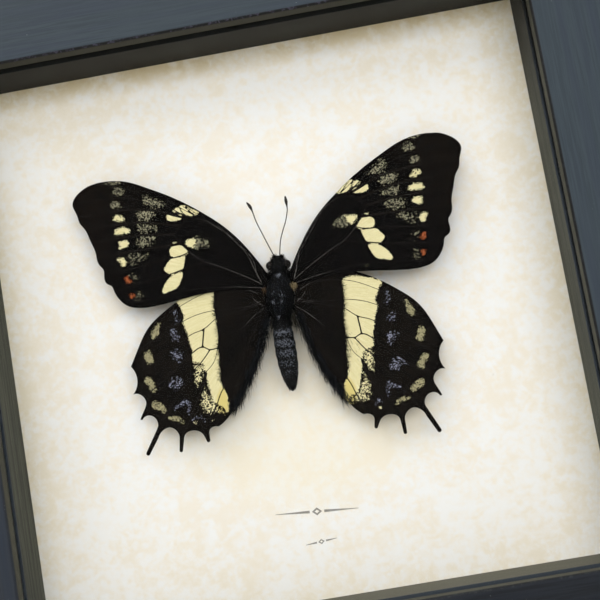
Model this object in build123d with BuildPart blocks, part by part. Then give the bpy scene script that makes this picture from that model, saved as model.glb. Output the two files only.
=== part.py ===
from build123d import *

import os
from math import cos, radians, sin

# Butterfly display case: a mitred shadow-box frame with one mounted swallowtail, in millimetres.
# +Z is up and the glass faces -Y. The origin is under the middle of the case, on the surface it
# stands on.

os.makedirs("parts", exist_ok=True)

# ---- moulding ---------------------------------------------------------------------------------
sight_width = 140.0  # opening between the left and right lips
sight_height = 140.0  # opening between the top and bottom lips
face_width = 19.0  # front face of each rail
lip_thickness = 3.8  # wood in front of the glass
lip_reach = 6.5  # how far the lip covers the rabbet
arris_radius = 0.9  # worn front edge of the lip
edge_ease = 0.6  # eased long edges on the outside

# ---- what lies in the rabbet, from the front --------------------------------------------------
glass_thickness = 2.0
spacer_depth = 13.8  # glass to paper
spacer_thickness = 6.35
spacer_gap = 0.3  # at the strips' ends
spacer_stand_off = {"top": 0.65, "bottom": 0.65, "left": 0.3, "right": 0.65}  # from the rabbet wall
parchment_thickness = 0.3
board_thickness = 4.8
backing_thickness = 3.0
sheet_clearance = 0.5  # around every sheet in the rabbet
back_recess = 0.15  # the back lies this far inside the rails' back face
glass_seam = 0.2  # ground edge of the glass

# ---- corner nails -----------------------------------------------------------------------------
v_nail_leg = 4.2
v_nail_thickness = 0.45
v_nail_height = 10.0
v_nail_sink = 0.3  # driven below the surface
v_nail_reaches = (1.6, 5.6)  # apex of each nail, outwards from the rabbet corner
slot_clearance = 0.03

# ---- turn buttons and their screws ------------------------------------------------------------
button_length = 22.0
button_width = 8.0
button_thickness = 1.0
button_bend = 10.5  # flat part, from the screw
button_rise = 1.2  # lift of the free end
button_gap = 0.05  # under the button
button_spread = 45.0  # screws above and below the middle
screw_inset = 6.25  # screw axis from the outside of the rail
screw_radius = 1.45
screw_length = 13.0
screw_head_radius = 2.9
screw_head_height = 1.7
screw_tip = 2.4
running_clearance = 0.08  # button hole around the shank
head_gap = 0.1  # head over the button
recess_length = 3.4
recess_width = 0.7
recess_depth = 0.9
pilot_clearance = 0.02  # wood around a shank

# ---- hanger and bumpers -----------------------------------------------------------------------
hanger_length = 46.0
hanger_height = 8.5
hanger_thickness = 0.8
hanger_tab = 8.0  # flat end with its nail
hanger_ramp = 2.0
hanger_rise = 1.3  # room for a nail head behind the teeth
tooth_pitch = 3.0
tooth_count = 8
tooth_depth = 1.5
hanger_nail_radius = 0.75
hanger_nail_length = 10.0
hanger_nail_head_radius = 1.7
hanger_nail_head_height = 0.6
hanger_nail_tip = 1.5
bumper_radius = 5.0
bumper_thickness = 3.4
bumper_round = 0.7
bumper_inset = 6.25  # bumper axis from the outside of the rails

# ---- specimen: u runs to its right, v along the body, from the middle of the thorax -----------
specimen_x = 0.2  # from the middle of the opening
specimen_z = 4.0
specimen_lean = 3.7  # degrees, clockwise
body_height = 5.8  # body axis over the paper
neck_v = 5.8
neck_radius = 1.6
thorax_radius = 3.3
thorax_middle_v = 0.6
waist_v = -4.2
waist_radius = 2.0
head_radius = 2.15
head_middle_v = 8.2
head_front_v = 10.4
head_front_radius = 0.6
eye_radius = 1.15
eye_u = 1.95
eye_v = 8.0
eye_height = 6.2
abdomen_outline = ((1.75, -6.6), (2.45, -9.8), (2.6, -13.5), (2.3, -17.8), (1.45, -21.2))
abdomen_tip_v = -23.0
abdomen_tip_radius = 0.3
antenna_height = 6.6
antenna_radius = 0.17
antenna_base = (0.5, 9.5)
antenna_left = ((-3.2, 16.3), (-4.9, 21.5))  # halfway and where the club starts
antenna_right = ((2.0, 16.3), (3.5, 21.9))
club_length = 3.0
club_radius = 0.4
club_middle = 1.65  # its thickest place, from where it starts
club_tip_radius = 0.15
leg_radius = 0.22
leg_rows = (3.2, 0.6, -2.0)
leg_route = ((1.5, 4.0), (3.2, 2.3), (2.0, 0.8))  # hip, knee and foot: u and height
pad_radius = 1.3
pad_top = 4.0  # inside the thorax, where it is shaped to it
pin_radius = 0.25
pin_top = 5.0
pin_depth = 4.0  # below the paper's face
pin_clearance = 0.03

wing_thickness = 0.25
forewing_camber = ((0.0, 6.4), (25.0, 7.0), (52.0, 6.1))  # u and height of the underside
hindwing_camber = ((0.0, 5.6), (21.0, 6.1), (42.0, 5.0))
forewing_root = (2.0, 4.0)
hindwing_root = (3.0, 2.0)
forewing_turn = {"left": 0.0, "right": 4.1}  # the mounted pair isn't quite even
hindwing_turn = {"left": 0.0, "right": -3.0}

# Wing outlines of the left pair, seen from the front and mirrored, in runs: two points are a line,
# three an arc and more a curve.
forewing_outline = (
    ((2.0, 4.6), (6.8, 12.4), (11.7, 18.3), (17.9, 23.4), (24.2, 27.5), (30.0, 30.5), (36.5, 33.1),
     (41.0, 33.5), (46.5, 32.2), (49.4, 28.4), (48.5, 25.9), (48.0, 23.9), (46.9, 22.3), (45.6, 18.9),
     (44.6, 16.0), (44.4, 14.1), (43.8, 12.7), (43.0, 11.6), (43.0, 9.6), (42.4, 8.0), (41.3, 7.3),
     (40.8, 6.0), (39.6, 3.7), (37.9, 2.1), (35.8, 1.3), (32.7, 1.1), (26.6, 1.8), (19.9, 2.8),
     (10.0, 2.9), (2.0, 1.9)),
    ((2.0, 1.9), (2.0, 4.6)),
)
hindwing_outline = (
    ((2.0, 3.2), (9.0, 5.6), (18.0, 5.2), (24.0, 2.8), (28.7, 0.0), (33.3, -3.7), (36.1, -8.0),
     (38.6, -12.8)),
    ((38.6, -12.8), (37.3, -15.8), (38.6, -19.6)),
    ((38.6, -19.6), (36.9, -19.8), (35.6, -21.8), (36.3, -23.8), (37.4, -25.9)),
    ((37.4, -25.9), (36.9, -26.0)),
    ((36.9, -26.0), (35.6, -25.1), (34.2, -25.4), (33.2, -26.8), (33.5, -28.6)),
    ((33.5, -28.6), (36.63, -33.95)),  # long tail
    ((36.63, -33.95), (36.45, -34.63), (35.77, -34.45)),
    ((35.77, -34.45), (33.3, -30.6)),
    ((33.3, -30.6), (32.0, -29.0), (30.3, -28.5), (28.7, -29.5), (28.15, -31.3)),
    ((28.15, -31.3), (28.45, -34.2)),  # second tail
    ((28.45, -34.2), (28.05, -34.7), (27.62, -34.3)),
    ((27.62, -34.3), (27.1, -31.6)),
    ((27.1, -31.6), (26.3, -30.2), (24.8, -29.8), (23.2, -30.2), (22.2, -31.2)),
    ((22.2, -31.2), (21.6, -32.6)),  # short tail
    ((21.6, -32.6), (21.2, -33.0), (20.75, -32.6)),
    ((20.75, -32.6), (20.85, -31.0)),
    ((20.85, -31.0), (20.4, -29.8), (19.5, -29.4), (18.4, -29.5)),
    ((18.4, -29.5), (16.2, -27.9), (13.3, -24.4), (9.7, -19.2), (6.7, -12.8), (4.6, -6.6), (2.0, -3.0)),
    ((2.0, -3.0), (2.0, 3.2)),
)

# ---- places worked out from them --------------------------------------------------------------
rail_depth = (
    lip_thickness + glass_thickness + spacer_depth + parchment_thickness + board_thickness
    + backing_thickness + back_recess
)
total_depth = rail_depth + bumper_thickness
half_width = sight_width / 2 + face_width
half_height = sight_height / 2 + face_width
clear_width = sight_width + 2 * lip_reach
clear_height = sight_height + 2 * lip_reach
centre_z = half_height
front_y = -total_depth / 2
back_y = front_y + rail_depth
glass_back_y = front_y + lip_thickness + glass_thickness
paper_y = glass_back_y + spacer_depth
parchment_back_y = paper_y + parchment_thickness
board_back_y = parchment_back_y + board_thickness
backing_back_y = board_back_y + backing_thickness

lean = radians(specimen_lean)
specimen_right = Vector(cos(lean), 0, -sin(lean))
specimen_up = Vector(sin(lean), 0, cos(lean))


def facing_front(y):
    """Plane through the middle of the case, x to the viewer's right, y up, z to the viewer."""
    return Plane(origin=(0, y, centre_z), x_dir=(1, 0, 0), z_dir=(0, -1, 0))


def over_paper(height):
    """Plane of the specimen: x is u, y is v and z leaves the paper."""
    origin = (specimen_x, paper_y - height, centre_z + specimen_z)
    return Plane(origin=origin, x_dir=specimen_right, z_dir=(0, -1, 0))


def across_body(v):
    """Plane across the specimen at v: x is u and y is the height over the paper."""
    return Plane(origin=over_paper(0).from_local_coords((0, v, 0)), x_dir=specimen_right, z_dir=-specimen_up)


def finish(builder, name):
    """Label a piece and write it out."""
    builder.part.label = name
    export_step(builder.part, f"parts/{name}.step")


# ---- fasteners that the rails are cut for -----------------------------------------------------
button_seats = {
    f"{row}_{side}": (side_x * (half_width - screw_inset), centre_z + side_z * button_spread)
    for side, side_x in (("left", -1), ("right", 1))
    for row, side_z in (("upper", 1), ("lower", -1))
}
hanger_z = centre_z + half_height - (face_width - lip_reach) / 2
hanger_nail_xs = [side * (hanger_length - hanger_tab) / 2 for side in (-1, 1)]


def headed_shank(x, seat_y, z, shank, length, head, head_height, tip):
    """A round-headed screw or nail whose head seats at seat_y and whose point is towards the front."""
    origin = (x, seat_y, z)
    with BuildPart() as fastener:
        with BuildSketch(Plane(origin=origin, x_dir=(1, 0, 0), z_dir=(0, 0, 1))):
            with BuildLine():
                Polyline((0, head_height), (0, -length), (shank, tip - length), (shank, 0), (head, 0))
                TangentArc((0, head_height), (head, 0), tangent=(1, 0))
            make_face()
        revolve(axis=Axis(origin, (0, 1, 0)))
    return fastener.part


def corner_v_shapes(grow, sink):
    """The nails across the mitres, or with grow and no sink the slots that they are driven into."""
    middle = (v_nail_leg - v_nail_thickness / 2) / 2
    long_side = v_nail_leg + v_nail_thickness / 2 + 2 * grow
    short_side = v_nail_thickness + 2 * grow
    with BuildPart() as shapes:
        with BuildSketch(facing_front(back_y - sink)):
            for side_x in (-1, 1):
                for side_z in (-1, 1):
                    for reach in v_nail_reaches:
                        apex_x = clear_width / 2 + reach
                        apex_z = clear_height / 2 + reach
                        with Locations((side_x * (apex_x + middle), side_z * apex_z)):
                            Rectangle(long_side, short_side)
                        with Locations((side_x * apex_x, side_z * (apex_z + middle))):
                            Rectangle(short_side, long_side)
        extrude(amount=v_nail_height + v_nail_sink - sink + grow)
    return shapes.part


with BuildPart() as corner_v_nails:
    add(corner_v_shapes(0, v_nail_sink))
finish(corner_v_nails, "corner_v_nails")

with BuildPart() as fastener_bores:
    add(corner_v_shapes(slot_clearance, 0))
    for x, z in button_seats.values():
        with BuildSketch(Plane(origin=(x, back_y, z), x_dir=(1, 0, 0), z_dir=(0, -1, 0))):
            Circle(screw_radius + pilot_clearance)
        extrude(amount=screw_length)
    for x in hanger_nail_xs:
        with BuildSketch(Plane(origin=(x, back_y, hanger_z), x_dir=(1, 0, 0), z_dir=(0, -1, 0))):
            Circle(hanger_nail_radius + pilot_clearance)
        extrude(amount=hanger_nail_length)

# ---- frame rails ------------------------------------------------------------------------------
rail_seats = {
    "rail_top": (Plane((0, back_y, centre_z + sight_height / 2), (1, 0, 0), (0, -1, 0)), sight_width),
    "rail_bottom": (Plane((0, back_y, centre_z - sight_height / 2), (-1, 0, 0), (0, -1, 0)), sight_width),
    "rail_left": (Plane((-sight_width / 2, back_y, centre_z), (0, 0, 1), (0, -1, 0)), sight_height),
    "rail_right": (Plane((sight_width / 2, back_y, centre_z), (0, 0, -1), (0, -1, 0)), sight_height),
}
for name, (seat, sight_length) in rail_seats.items():
    half = sight_length / 2
    lip_back = rail_depth - lip_thickness
    with BuildPart() as rail:
        with BuildSketch(Plane(seat.origin, seat.y_dir, seat.x_dir)) as section:
            with BuildLine():
                Polyline(
                    (0, lip_back), (0, rail_depth), (face_width, rail_depth), (face_width, 0),
                    (lip_reach, 0), (lip_reach, lip_back), close=True,
                )
            make_face()
            fillet(section.vertices().group_by(Axis.X)[-1], edge_ease)
            fillet(section.vertices().group_by(Axis.X)[0].sort_by(Axis.Y)[-1], arris_radius)
        extrude(amount=half + face_width, both=True)
        with BuildSketch(seat):
            with BuildLine():
                Polyline(
                    (-half, 0), (half, 0), (half + face_width, face_width),
                    (-half - face_width, face_width), close=True,
                )
            make_face()
        extrude(amount=rail_depth, mode=Mode.INTERSECT)
        add(fastener_bores.part, mode=Mode.SUBTRACT)
    finish(rail, name)

# ---- sheets in the rabbet ---------------------------------------------------------------------
sheet_width = clear_width - 2 * sheet_clearance
sheet_height = clear_height - 2 * sheet_clearance
pin_axis = over_paper(0)

with BuildPart() as glass_pane:
    with BuildSketch(facing_front(glass_back_y)):
        Rectangle(sheet_width, sheet_height)
    extrude(amount=glass_thickness)
    chamfer(glass_pane.edges().filter_by(Axis.Y, reverse=True), glass_seam)
finish(glass_pane, "glass_pane")

with BuildPart() as parchment_sheet:
    with BuildSketch(facing_front(parchment_back_y)):
        Rectangle(sheet_width, sheet_height)
    extrude(amount=parchment_thickness)
    with BuildSketch(pin_axis):
        Circle(pin_radius + pin_clearance)
    extrude(amount=-parchment_thickness, mode=Mode.SUBTRACT)
finish(parchment_sheet, "parchment_sheet")

with BuildPart() as mounting_board:
    with BuildSketch(facing_front(board_back_y)):
        Rectangle(sheet_width, sheet_height)
    extrude(amount=board_thickness)
    with BuildSketch(pin_axis):
        Circle(pin_radius + pin_clearance)
    extrude(amount=-pin_depth, mode=Mode.SUBTRACT)
finish(mounting_board, "mounting_board")

with BuildPart() as backing_board:
    with BuildSketch(facing_front(backing_back_y)):
        Rectangle(sheet_width, sheet_height)
    extrude(amount=backing_thickness)
finish(backing_board, "backing_board")

# ---- spacer strips: the upright pair stands between the other two -----------------------------
def strip_reach(clear, side_name):
    """From the middle of the case to the middle of a strip's thickness."""
    return clear / 2 - spacer_stand_off[side_name] - spacer_thickness / 2


across = clear_width - 2 * spacer_gap
upright = 2 * (strip_reach(clear_height, "top") - spacer_thickness / 2 - spacer_gap)
spacers = {
    "spacer_top": ((0, strip_reach(clear_height, "top")), (across, spacer_thickness)),
    "spacer_bottom": ((0, -strip_reach(clear_height, "bottom")), (across, spacer_thickness)),
    "spacer_left": ((-strip_reach(clear_width, "left"), 0), (spacer_thickness, upright)),
    "spacer_right": ((strip_reach(clear_width, "right"), 0), (spacer_thickness, upright)),
}
for name, (place, size) in spacers.items():
    with BuildPart() as spacer:
        with BuildSketch(facing_front(paper_y)):
            with Locations(place):
                Rectangle(*size)
        extrude(amount=spacer_depth)
    finish(spacer, name)

# ---- turn buttons and screws ------------------------------------------------------------------
for name, (x, z) in button_seats.items():
    inwards = (-1 if x > 0 else 1, 0, 0)
    seat = Plane(origin=(x, back_y + button_gap, z), x_dir=inwards, z_dir=(0, 1, 0))
    free_end = button_length - button_width / 2
    with BuildPart() as turn_button:
        with BuildSketch(seat):
            with Locations((button_length / 2 - button_width / 2, 0)):
                SlotOverall(button_length, button_width)
        extrude(amount=button_rise + button_thickness)
        with BuildSketch(Plane(seat.origin, seat.x_dir, -seat.y_dir)):
            with BuildLine():
                Polyline(
                    (-button_width, 0), (button_bend, 0), (free_end, button_rise),
                    (free_end, button_rise + button_thickness), (button_bend, button_thickness),
                    (-button_width, button_thickness), close=True,
                )
            make_face()
        extrude(amount=button_width, both=True, mode=Mode.INTERSECT)
        with BuildSketch(seat):
            Circle(screw_radius + running_clearance)
        extrude(amount=button_thickness, mode=Mode.SUBTRACT)
    finish(turn_button, f"turn_button_{name}")

with BuildPart() as turn_button_screws:
    screw_seat_y = back_y + button_gap + button_thickness + head_gap
    for x, z in button_seats.values():
        add(headed_shank(x, screw_seat_y, z, screw_radius, screw_length, screw_head_radius,
                         screw_head_height, screw_tip))
    for x, z in button_seats.values():
        with BuildSketch(Plane((x, screw_seat_y + screw_head_height, z), (1, 0, 0), (0, 1, 0))):
            Rectangle(recess_length, recess_width)
            Rectangle(recess_width, recess_length)
        extrude(amount=-recess_depth, mode=Mode.SUBTRACT)
finish(turn_button_screws, "turn_button_screws")

# ---- sawtooth hanger and bumpers --------------------------------------------------------------
with BuildPart() as sawtooth_hanger:
    with BuildSketch(Plane((0, back_y, hanger_z), (1, 0, 0), (0, 0, 1))):
        with BuildLine():
            tab = hanger_length / 2 - hanger_tab
            Polyline(
                (0, hanger_rise), (tab - hanger_ramp, hanger_rise), (tab, 0), (hanger_length / 2, 0),
                (hanger_length / 2, hanger_thickness), (tab, hanger_thickness),
                (tab - hanger_ramp, hanger_rise + hanger_thickness), (0, hanger_rise + hanger_thickness),
                close=True,
            )
        make_face()
        mirror(about=Plane.YZ)
    extrude(amount=hanger_height / 2, both=True)
    with BuildSketch(Plane((0, back_y, hanger_z - hanger_height / 2), (-1, 0, 0), (0, 1, 0))):
        with GridLocations(tooth_pitch, 1, tooth_count, 1):
            Polygon((-tooth_pitch / 2, 0), (tooth_pitch / 2, 0), (0, tooth_depth), align=None)
    extrude(amount=hanger_rise + hanger_thickness, mode=Mode.SUBTRACT)
    with BuildSketch(Plane((0, back_y, hanger_z), (1, 0, 0), (0, -1, 0))):
        with Locations(*[(x, 0) for x in hanger_nail_xs]):
            Circle(hanger_nail_radius + pilot_clearance)
    extrude(amount=-hanger_thickness, mode=Mode.SUBTRACT)
finish(sawtooth_hanger, "sawtooth_hanger")

with BuildPart() as hanger_nails:
    for x in hanger_nail_xs:
        add(headed_shank(x, back_y + hanger_thickness, hanger_z, hanger_nail_radius, hanger_nail_length,
                         hanger_nail_head_radius, hanger_nail_head_height, hanger_nail_tip))
finish(hanger_nails, "hanger_nails")

with BuildPart() as wall_bumpers:
    with BuildSketch(Plane((0, back_y, bumper_inset), (-1, 0, 0), (0, 1, 0))):
        reach = half_width - bumper_inset
        with Locations((-reach, 0), (reach, 0)):
            Circle(bumper_radius)
    extrude(amount=bumper_thickness)
    fillet(wall_bumpers.faces().sort_by(Axis.Y)[-2:].edges(), bumper_round)
finish(wall_bumpers, "wall_bumpers")

# ---- specimen: body ---------------------------------------------------------------------------
body_origin = over_paper(body_height).origin
body_profile = Plane(origin=body_origin, x_dir=(0, -1, 0), z_dir=-specimen_right)  # x is the radius, y is v
body_axis = Axis(body_origin, specimen_up)

with BuildPart() as thorax:
    with BuildSketch(body_profile):
        with BuildLine():
            ThreePointArc(
                (waist_radius, waist_v), (thorax_radius, thorax_middle_v), (neck_radius, neck_v)
            )
            Polyline((neck_radius, neck_v), (0, neck_v), (0, waist_v), (waist_radius, waist_v))
        make_face()
    revolve(axis=body_axis)
    with BuildSketch(pin_axis):
        Circle(pin_radius + pin_clearance)
    extrude(amount=pin_top + pin_clearance, mode=Mode.SUBTRACT)
finish(thorax, "thorax")

with BuildPart() as head:
    with BuildSketch(body_profile):
        with BuildLine():
            Spline((neck_radius, neck_v), (head_radius, head_middle_v), (head_front_radius, head_front_v))
            Polyline(
                (head_front_radius, head_front_v), (0, head_front_v), (0, neck_v), (neck_radius, neck_v)
            )
        make_face()
    revolve(axis=body_axis)
finish(head, "head")

with BuildPart() as abdomen:
    with BuildSketch(body_profile):
        with BuildLine():
            Spline((waist_radius, waist_v), *abdomen_outline, (abdomen_tip_radius, abdomen_tip_v))
            Polyline(
                (abdomen_tip_radius, abdomen_tip_v), (0, abdomen_tip_v), (0, waist_v),
                (waist_radius, waist_v),
            )
        make_face()
    revolve(axis=body_axis)
finish(abdomen, "abdomen")

with BuildPart() as eyes:
    for side in (-1, 1):
        with Locations(over_paper(eye_height).from_local_coords((side * eye_u, eye_v, 0))):
            Sphere(eye_radius, rotation=(90, 0, 0))
    add(head.part, mode=Mode.SUBTRACT)
finish(eyes, "eyes")

for name, side, (halfway, club_start) in (
    ("antenna_left", -1, antenna_left),
    ("antenna_right", 1, antenna_right),
):
    plane = over_paper(antenna_height)
    with BuildPart() as antenna:
        with BuildLine(plane) as route:
            ThreePointArc((side * antenna_base[0], antenna_base[1]), halfway, club_start)
        with BuildSketch(Plane(route.line @ 0, z_dir=route.line % 0)):
            Circle(antenna_radius)
        sweep(path=route.line)
        with BuildSketch(Plane(route.line @ 1, x_dir=route.line % 1, z_dir=plane.z_dir)):
            with BuildLine():
                Spline((0, antenna_radius), (club_middle, club_radius), (club_length, club_tip_radius))
                Polyline((club_length, club_tip_radius), (club_length, 0), (0, 0), (0, antenna_radius))
            make_face()
        revolve(axis=Axis(route.line @ 1, route.line % 1))
        add(head.part, mode=Mode.SUBTRACT)
    finish(antenna, name)

with BuildPart() as legs:
    for v in leg_rows:
        for side in (-1, 1):
            with BuildLine(across_body(v)) as route:
                Polyline(*[(side * u, height) for u, height in leg_route])
            with BuildSketch(Plane(route.line @ 0, z_dir=route.line % 0)):
                Circle(leg_radius)
            sweep(path=route.line, transition=Transition.ROUND)
    add(thorax.part, mode=Mode.SUBTRACT)
finish(legs, "legs")

with BuildPart() as thorax_pad:
    with BuildSketch(pin_axis):
        Circle(pad_radius)
        Circle(pin_radius + pin_clearance, mode=Mode.SUBTRACT)
    extrude(amount=pad_top)
    add(thorax.part, mode=Mode.SUBTRACT)
finish(thorax_pad, "thorax_pad")

with BuildPart() as specimen_pin:
    with BuildSketch(over_paper(-pin_depth)):
        Circle(pin_radius)
    extrude(amount=pin_depth + pin_top)
finish(specimen_pin, "specimen_pin")


# ---- specimen: wings --------------------------------------------------------------------------
def placed(point, side, root, turn):
    """A point of a wing outline, turned about the wing's root and put on its side of the body."""
    u, v = point[0] - root[0], point[1] - root[1]
    turn = radians(turn)
    return (
        side * (root[0] + u * cos(turn) - v * sin(turn)),
        root[1] + u * sin(turn) + v * cos(turn),
    )


def camber_line(camber, side, lift):
    """The curve of a wing across its span."""
    return ThreePointArc(*[(side * u, height + lift) for u, height in camber])


wings = (
    ("forewing", forewing_outline, forewing_root, forewing_turn, forewing_camber),
    ("hindwing", hindwing_outline, hindwing_root, hindwing_turn, hindwing_camber),
)
for kind, outline, root, turns, camber in wings:
    for side_name, side in (("left", -1), ("right", 1)):
        with BuildPart() as wing:
            with BuildSketch(over_paper(0)):
                with BuildLine():
                    for run in outline:
                        points = [placed(point, side, root, turns[side_name]) for point in run]
                        curve = {2: Line, 3: ThreePointArc}.get(len(points), Spline)
                        curve(*points)
                make_face()
            extrude(amount=spacer_depth)
            with BuildSketch(across_body(0)):
                with BuildLine():
                    lower = camber_line(camber, side, 0)
                    upper = camber_line(camber, side, wing_thickness)
                    Line(lower @ 0, upper @ 0)
                    Line(lower @ 1, upper @ 1)
                make_face()
            extrude(amount=sight_height / 2, both=True, mode=Mode.INTERSECT)
            add(thorax.part, mode=Mode.SUBTRACT)
        finish(wing, f"{kind}_{side_name}")
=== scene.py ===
from math import atan2, cos, hypot, pi, radians, sin

import bmesh
import bpy
import numpy as np
from mathutils import Matrix, Vector
from mathutils.bvhtree import BVHTree
from mathutils.geometry import delaunay_2d_cdt


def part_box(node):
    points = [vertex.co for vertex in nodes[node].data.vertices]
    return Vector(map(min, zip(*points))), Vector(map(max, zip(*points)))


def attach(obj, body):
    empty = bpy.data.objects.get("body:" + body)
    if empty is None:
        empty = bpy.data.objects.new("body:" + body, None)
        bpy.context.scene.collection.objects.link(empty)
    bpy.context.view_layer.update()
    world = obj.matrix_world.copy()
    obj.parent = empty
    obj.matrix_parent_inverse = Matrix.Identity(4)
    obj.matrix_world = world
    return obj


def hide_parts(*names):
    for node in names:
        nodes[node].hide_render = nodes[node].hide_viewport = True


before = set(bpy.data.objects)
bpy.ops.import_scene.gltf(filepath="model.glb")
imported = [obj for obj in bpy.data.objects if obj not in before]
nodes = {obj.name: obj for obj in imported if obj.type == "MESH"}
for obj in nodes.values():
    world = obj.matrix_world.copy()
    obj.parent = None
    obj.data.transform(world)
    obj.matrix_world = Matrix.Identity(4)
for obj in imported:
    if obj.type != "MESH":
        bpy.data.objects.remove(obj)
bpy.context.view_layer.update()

MM = 0.001

# Sizes in mm. The specimen has its own frame: u to its right, v to its head and h off the paper.
half_sight = round(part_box("rail_right")[0].x / MM, 3)
opening_z = round(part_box("rail_left")[1].z / MM, 3) / 2
strip_front_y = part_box("spacer_top")[0].y / MM
paper_face_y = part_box("parchment_sheet")[0].y / MM
specimen_middle = Vector((0.2, paper_face_y, 93))
specimen_lean = radians(3.7)
to_right = Vector((cos(specimen_lean), 0, -sin(specimen_lean)))
to_head = Vector((sin(specimen_lean), 0, cos(specimen_lean)))
off_paper = Vector((0, -1, 0))


# ---- shader values and finishes ---------------------------------------------------------------
class Value:
    """One output of a node, used in sums as a number is."""

    def __init__(self, finish, output):
        self.finish = finish
        self.output = output

    def maths(self, operation, *values):
        return self.finish.node("ShaderNodeMath", {"operation": operation}, values)

    def __add__(self, other):
        return self.maths("ADD", self, other)

    def __sub__(self, other):
        return self.maths("SUBTRACT", self, other)

    def __rsub__(self, other):
        return self.maths("SUBTRACT", other, self)

    def __mul__(self, other):
        return self.maths("MULTIPLY", self, other)

    def __truediv__(self, other):
        return self.maths("DIVIDE", self, other)

    def __pow__(self, other):
        return self.maths("POWER", self, other)

    def __abs__(self):
        return self.maths("ABSOLUTE", self)

    __radd__ = __add__
    __rmul__ = __mul__

    def or_more(self, other):
        """The larger of the two."""
        return self.maths("MAXIMUM", self, other)

    def over(self, low, high):
        """0 below low and 1 above high, with a smooth step between."""
        settings = {"interpolation_type": "SMOOTHSTEP"}
        sockets = {"Value": self, "From Min": low, "From Max": high}
        return self.finish.node("ShaderNodeMapRange", settings, sockets)


class Finish:
    """A material, made of nodes. A world that is given takes the nodes instead."""

    def __init__(self, name, world=None):
        self.holder = world or bpy.data.materials.new(name)
        self.holder.use_nodes = True
        self.tree = self.holder.node_tree
        self.tree.nodes.clear()

    def node(self, kind, settings=None, sockets=(), output=0):
        """A node of that type: settings first, then the values or links of its sockets."""
        made = self.tree.nodes.new(kind)
        for name, value in (settings or {}).items():
            setattr(made, name, value)
        pairs = sockets.items() if isinstance(sockets, dict) else enumerate(sockets)
        for name, value in pairs:
            if isinstance(value, Value):
                self.tree.links.new(made.inputs[name], value.output)
            else:
                made.inputs[name].default_value = value
        return Value(self, made.outputs[output] if made.outputs else None)

    def places(self, scale=(1, 1, 1)):
        """Places on the object in mm, stretched by scale."""
        place = self.node("ShaderNodeTexCoord", output="Object")
        factors = tuple(value / MM for value in scale)
        return self.node("ShaderNodeVectorMath", {"operation": "MULTIPLY"}, [place, factors])

    def axes(self, vector):
        """The three parts of a vector."""
        split = self.node("ShaderNodeSeparateXYZ", None, [vector])
        outputs = split.output.node.outputs
        return [Value(self, outputs[i]) for i in range(3)]

    def noise(self, scale, detail, roughness=0.55, distortion=0.0, places=None):
        """Soft noise between about 0.25 and 0.75."""
        sockets = {"Vector": places or self.places(), "Scale": scale, "Detail": detail,
                   "Roughness": roughness, "Distortion": distortion}
        return self.node("ShaderNodeTexNoise", None, sockets)

    def grains(self, scale, places=None):
        """One even random number from 0 to 1 for each small cell."""
        sockets = {"Vector": places or self.places(), "Scale": scale}
        cell = self.node("ShaderNodeTexVoronoi", None, sockets, "Color")
        return self.axes(cell)[0]

    def specks(self, scale, size):
        """Round specks, one in each cell."""
        sockets = {"Vector": self.places(), "Scale": scale}
        distance = self.node("ShaderNodeTexVoronoi", None, sockets, "Distance")
        return 1 - distance.over(size * 0.6, size)

    def dust(self, scale, size, bare):
        """Specks of dust, with that share of the cells left bare."""
        return self.specks(scale, size) * self.grains(scale).over(bare, bare + 0.01)

    def blend(self, amount, first, second):
        """A colour between two colours."""
        settings = {"data_type": "RGBA"}
        return self.node("ShaderNodeMix", settings, {0: amount, 6: first, 7: second}, 2)

    def attribute(self, name, output="Fac"):
        """The numbers kept on a piece's points under that name."""
        return self.node("ShaderNodeAttribute", {"attribute_name": name}, output=output)

    def bump(self, height, depth, strength):
        """A relief of that depth in mm."""
        sockets = {"Height": height, "Distance": depth * MM, "Strength": strength}
        return self.node("ShaderNodeBump", None, sockets, "Normal")

    def done(self, surface, end="ShaderNodeOutputMaterial"):
        """The material, or the world, with that surface."""
        self.node(end, None, {"Surface": surface})
        return self.holder

    def made_of(self, colour, roughness, relief=None, **sockets):
        """The material in that colour and roughness; a relief is a height, a depth and a strength."""
        names = {"Base Color": colour, "Roughness": roughness}
        for key, value in sockets.items():
            names[key.replace("_", " ").title().replace("Ior", "IOR")] = value
        if relief:
            names["Normal"] = self.bump(*relief)
        return self.done(self.node("ShaderNodeBsdfPrincipled", None, names))


def srgb(red, green, blue):
    """A colour as it looks on screen, 0 to 255, turned to the shader's own scale."""
    parts = [value / 255 for value in (red, green, blue)]
    linear = [p / 12.92 if p < 0.04045 else ((p + 0.055) / 1.055) ** 2.4 for p in parts]
    return (*linear, 1)


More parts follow.
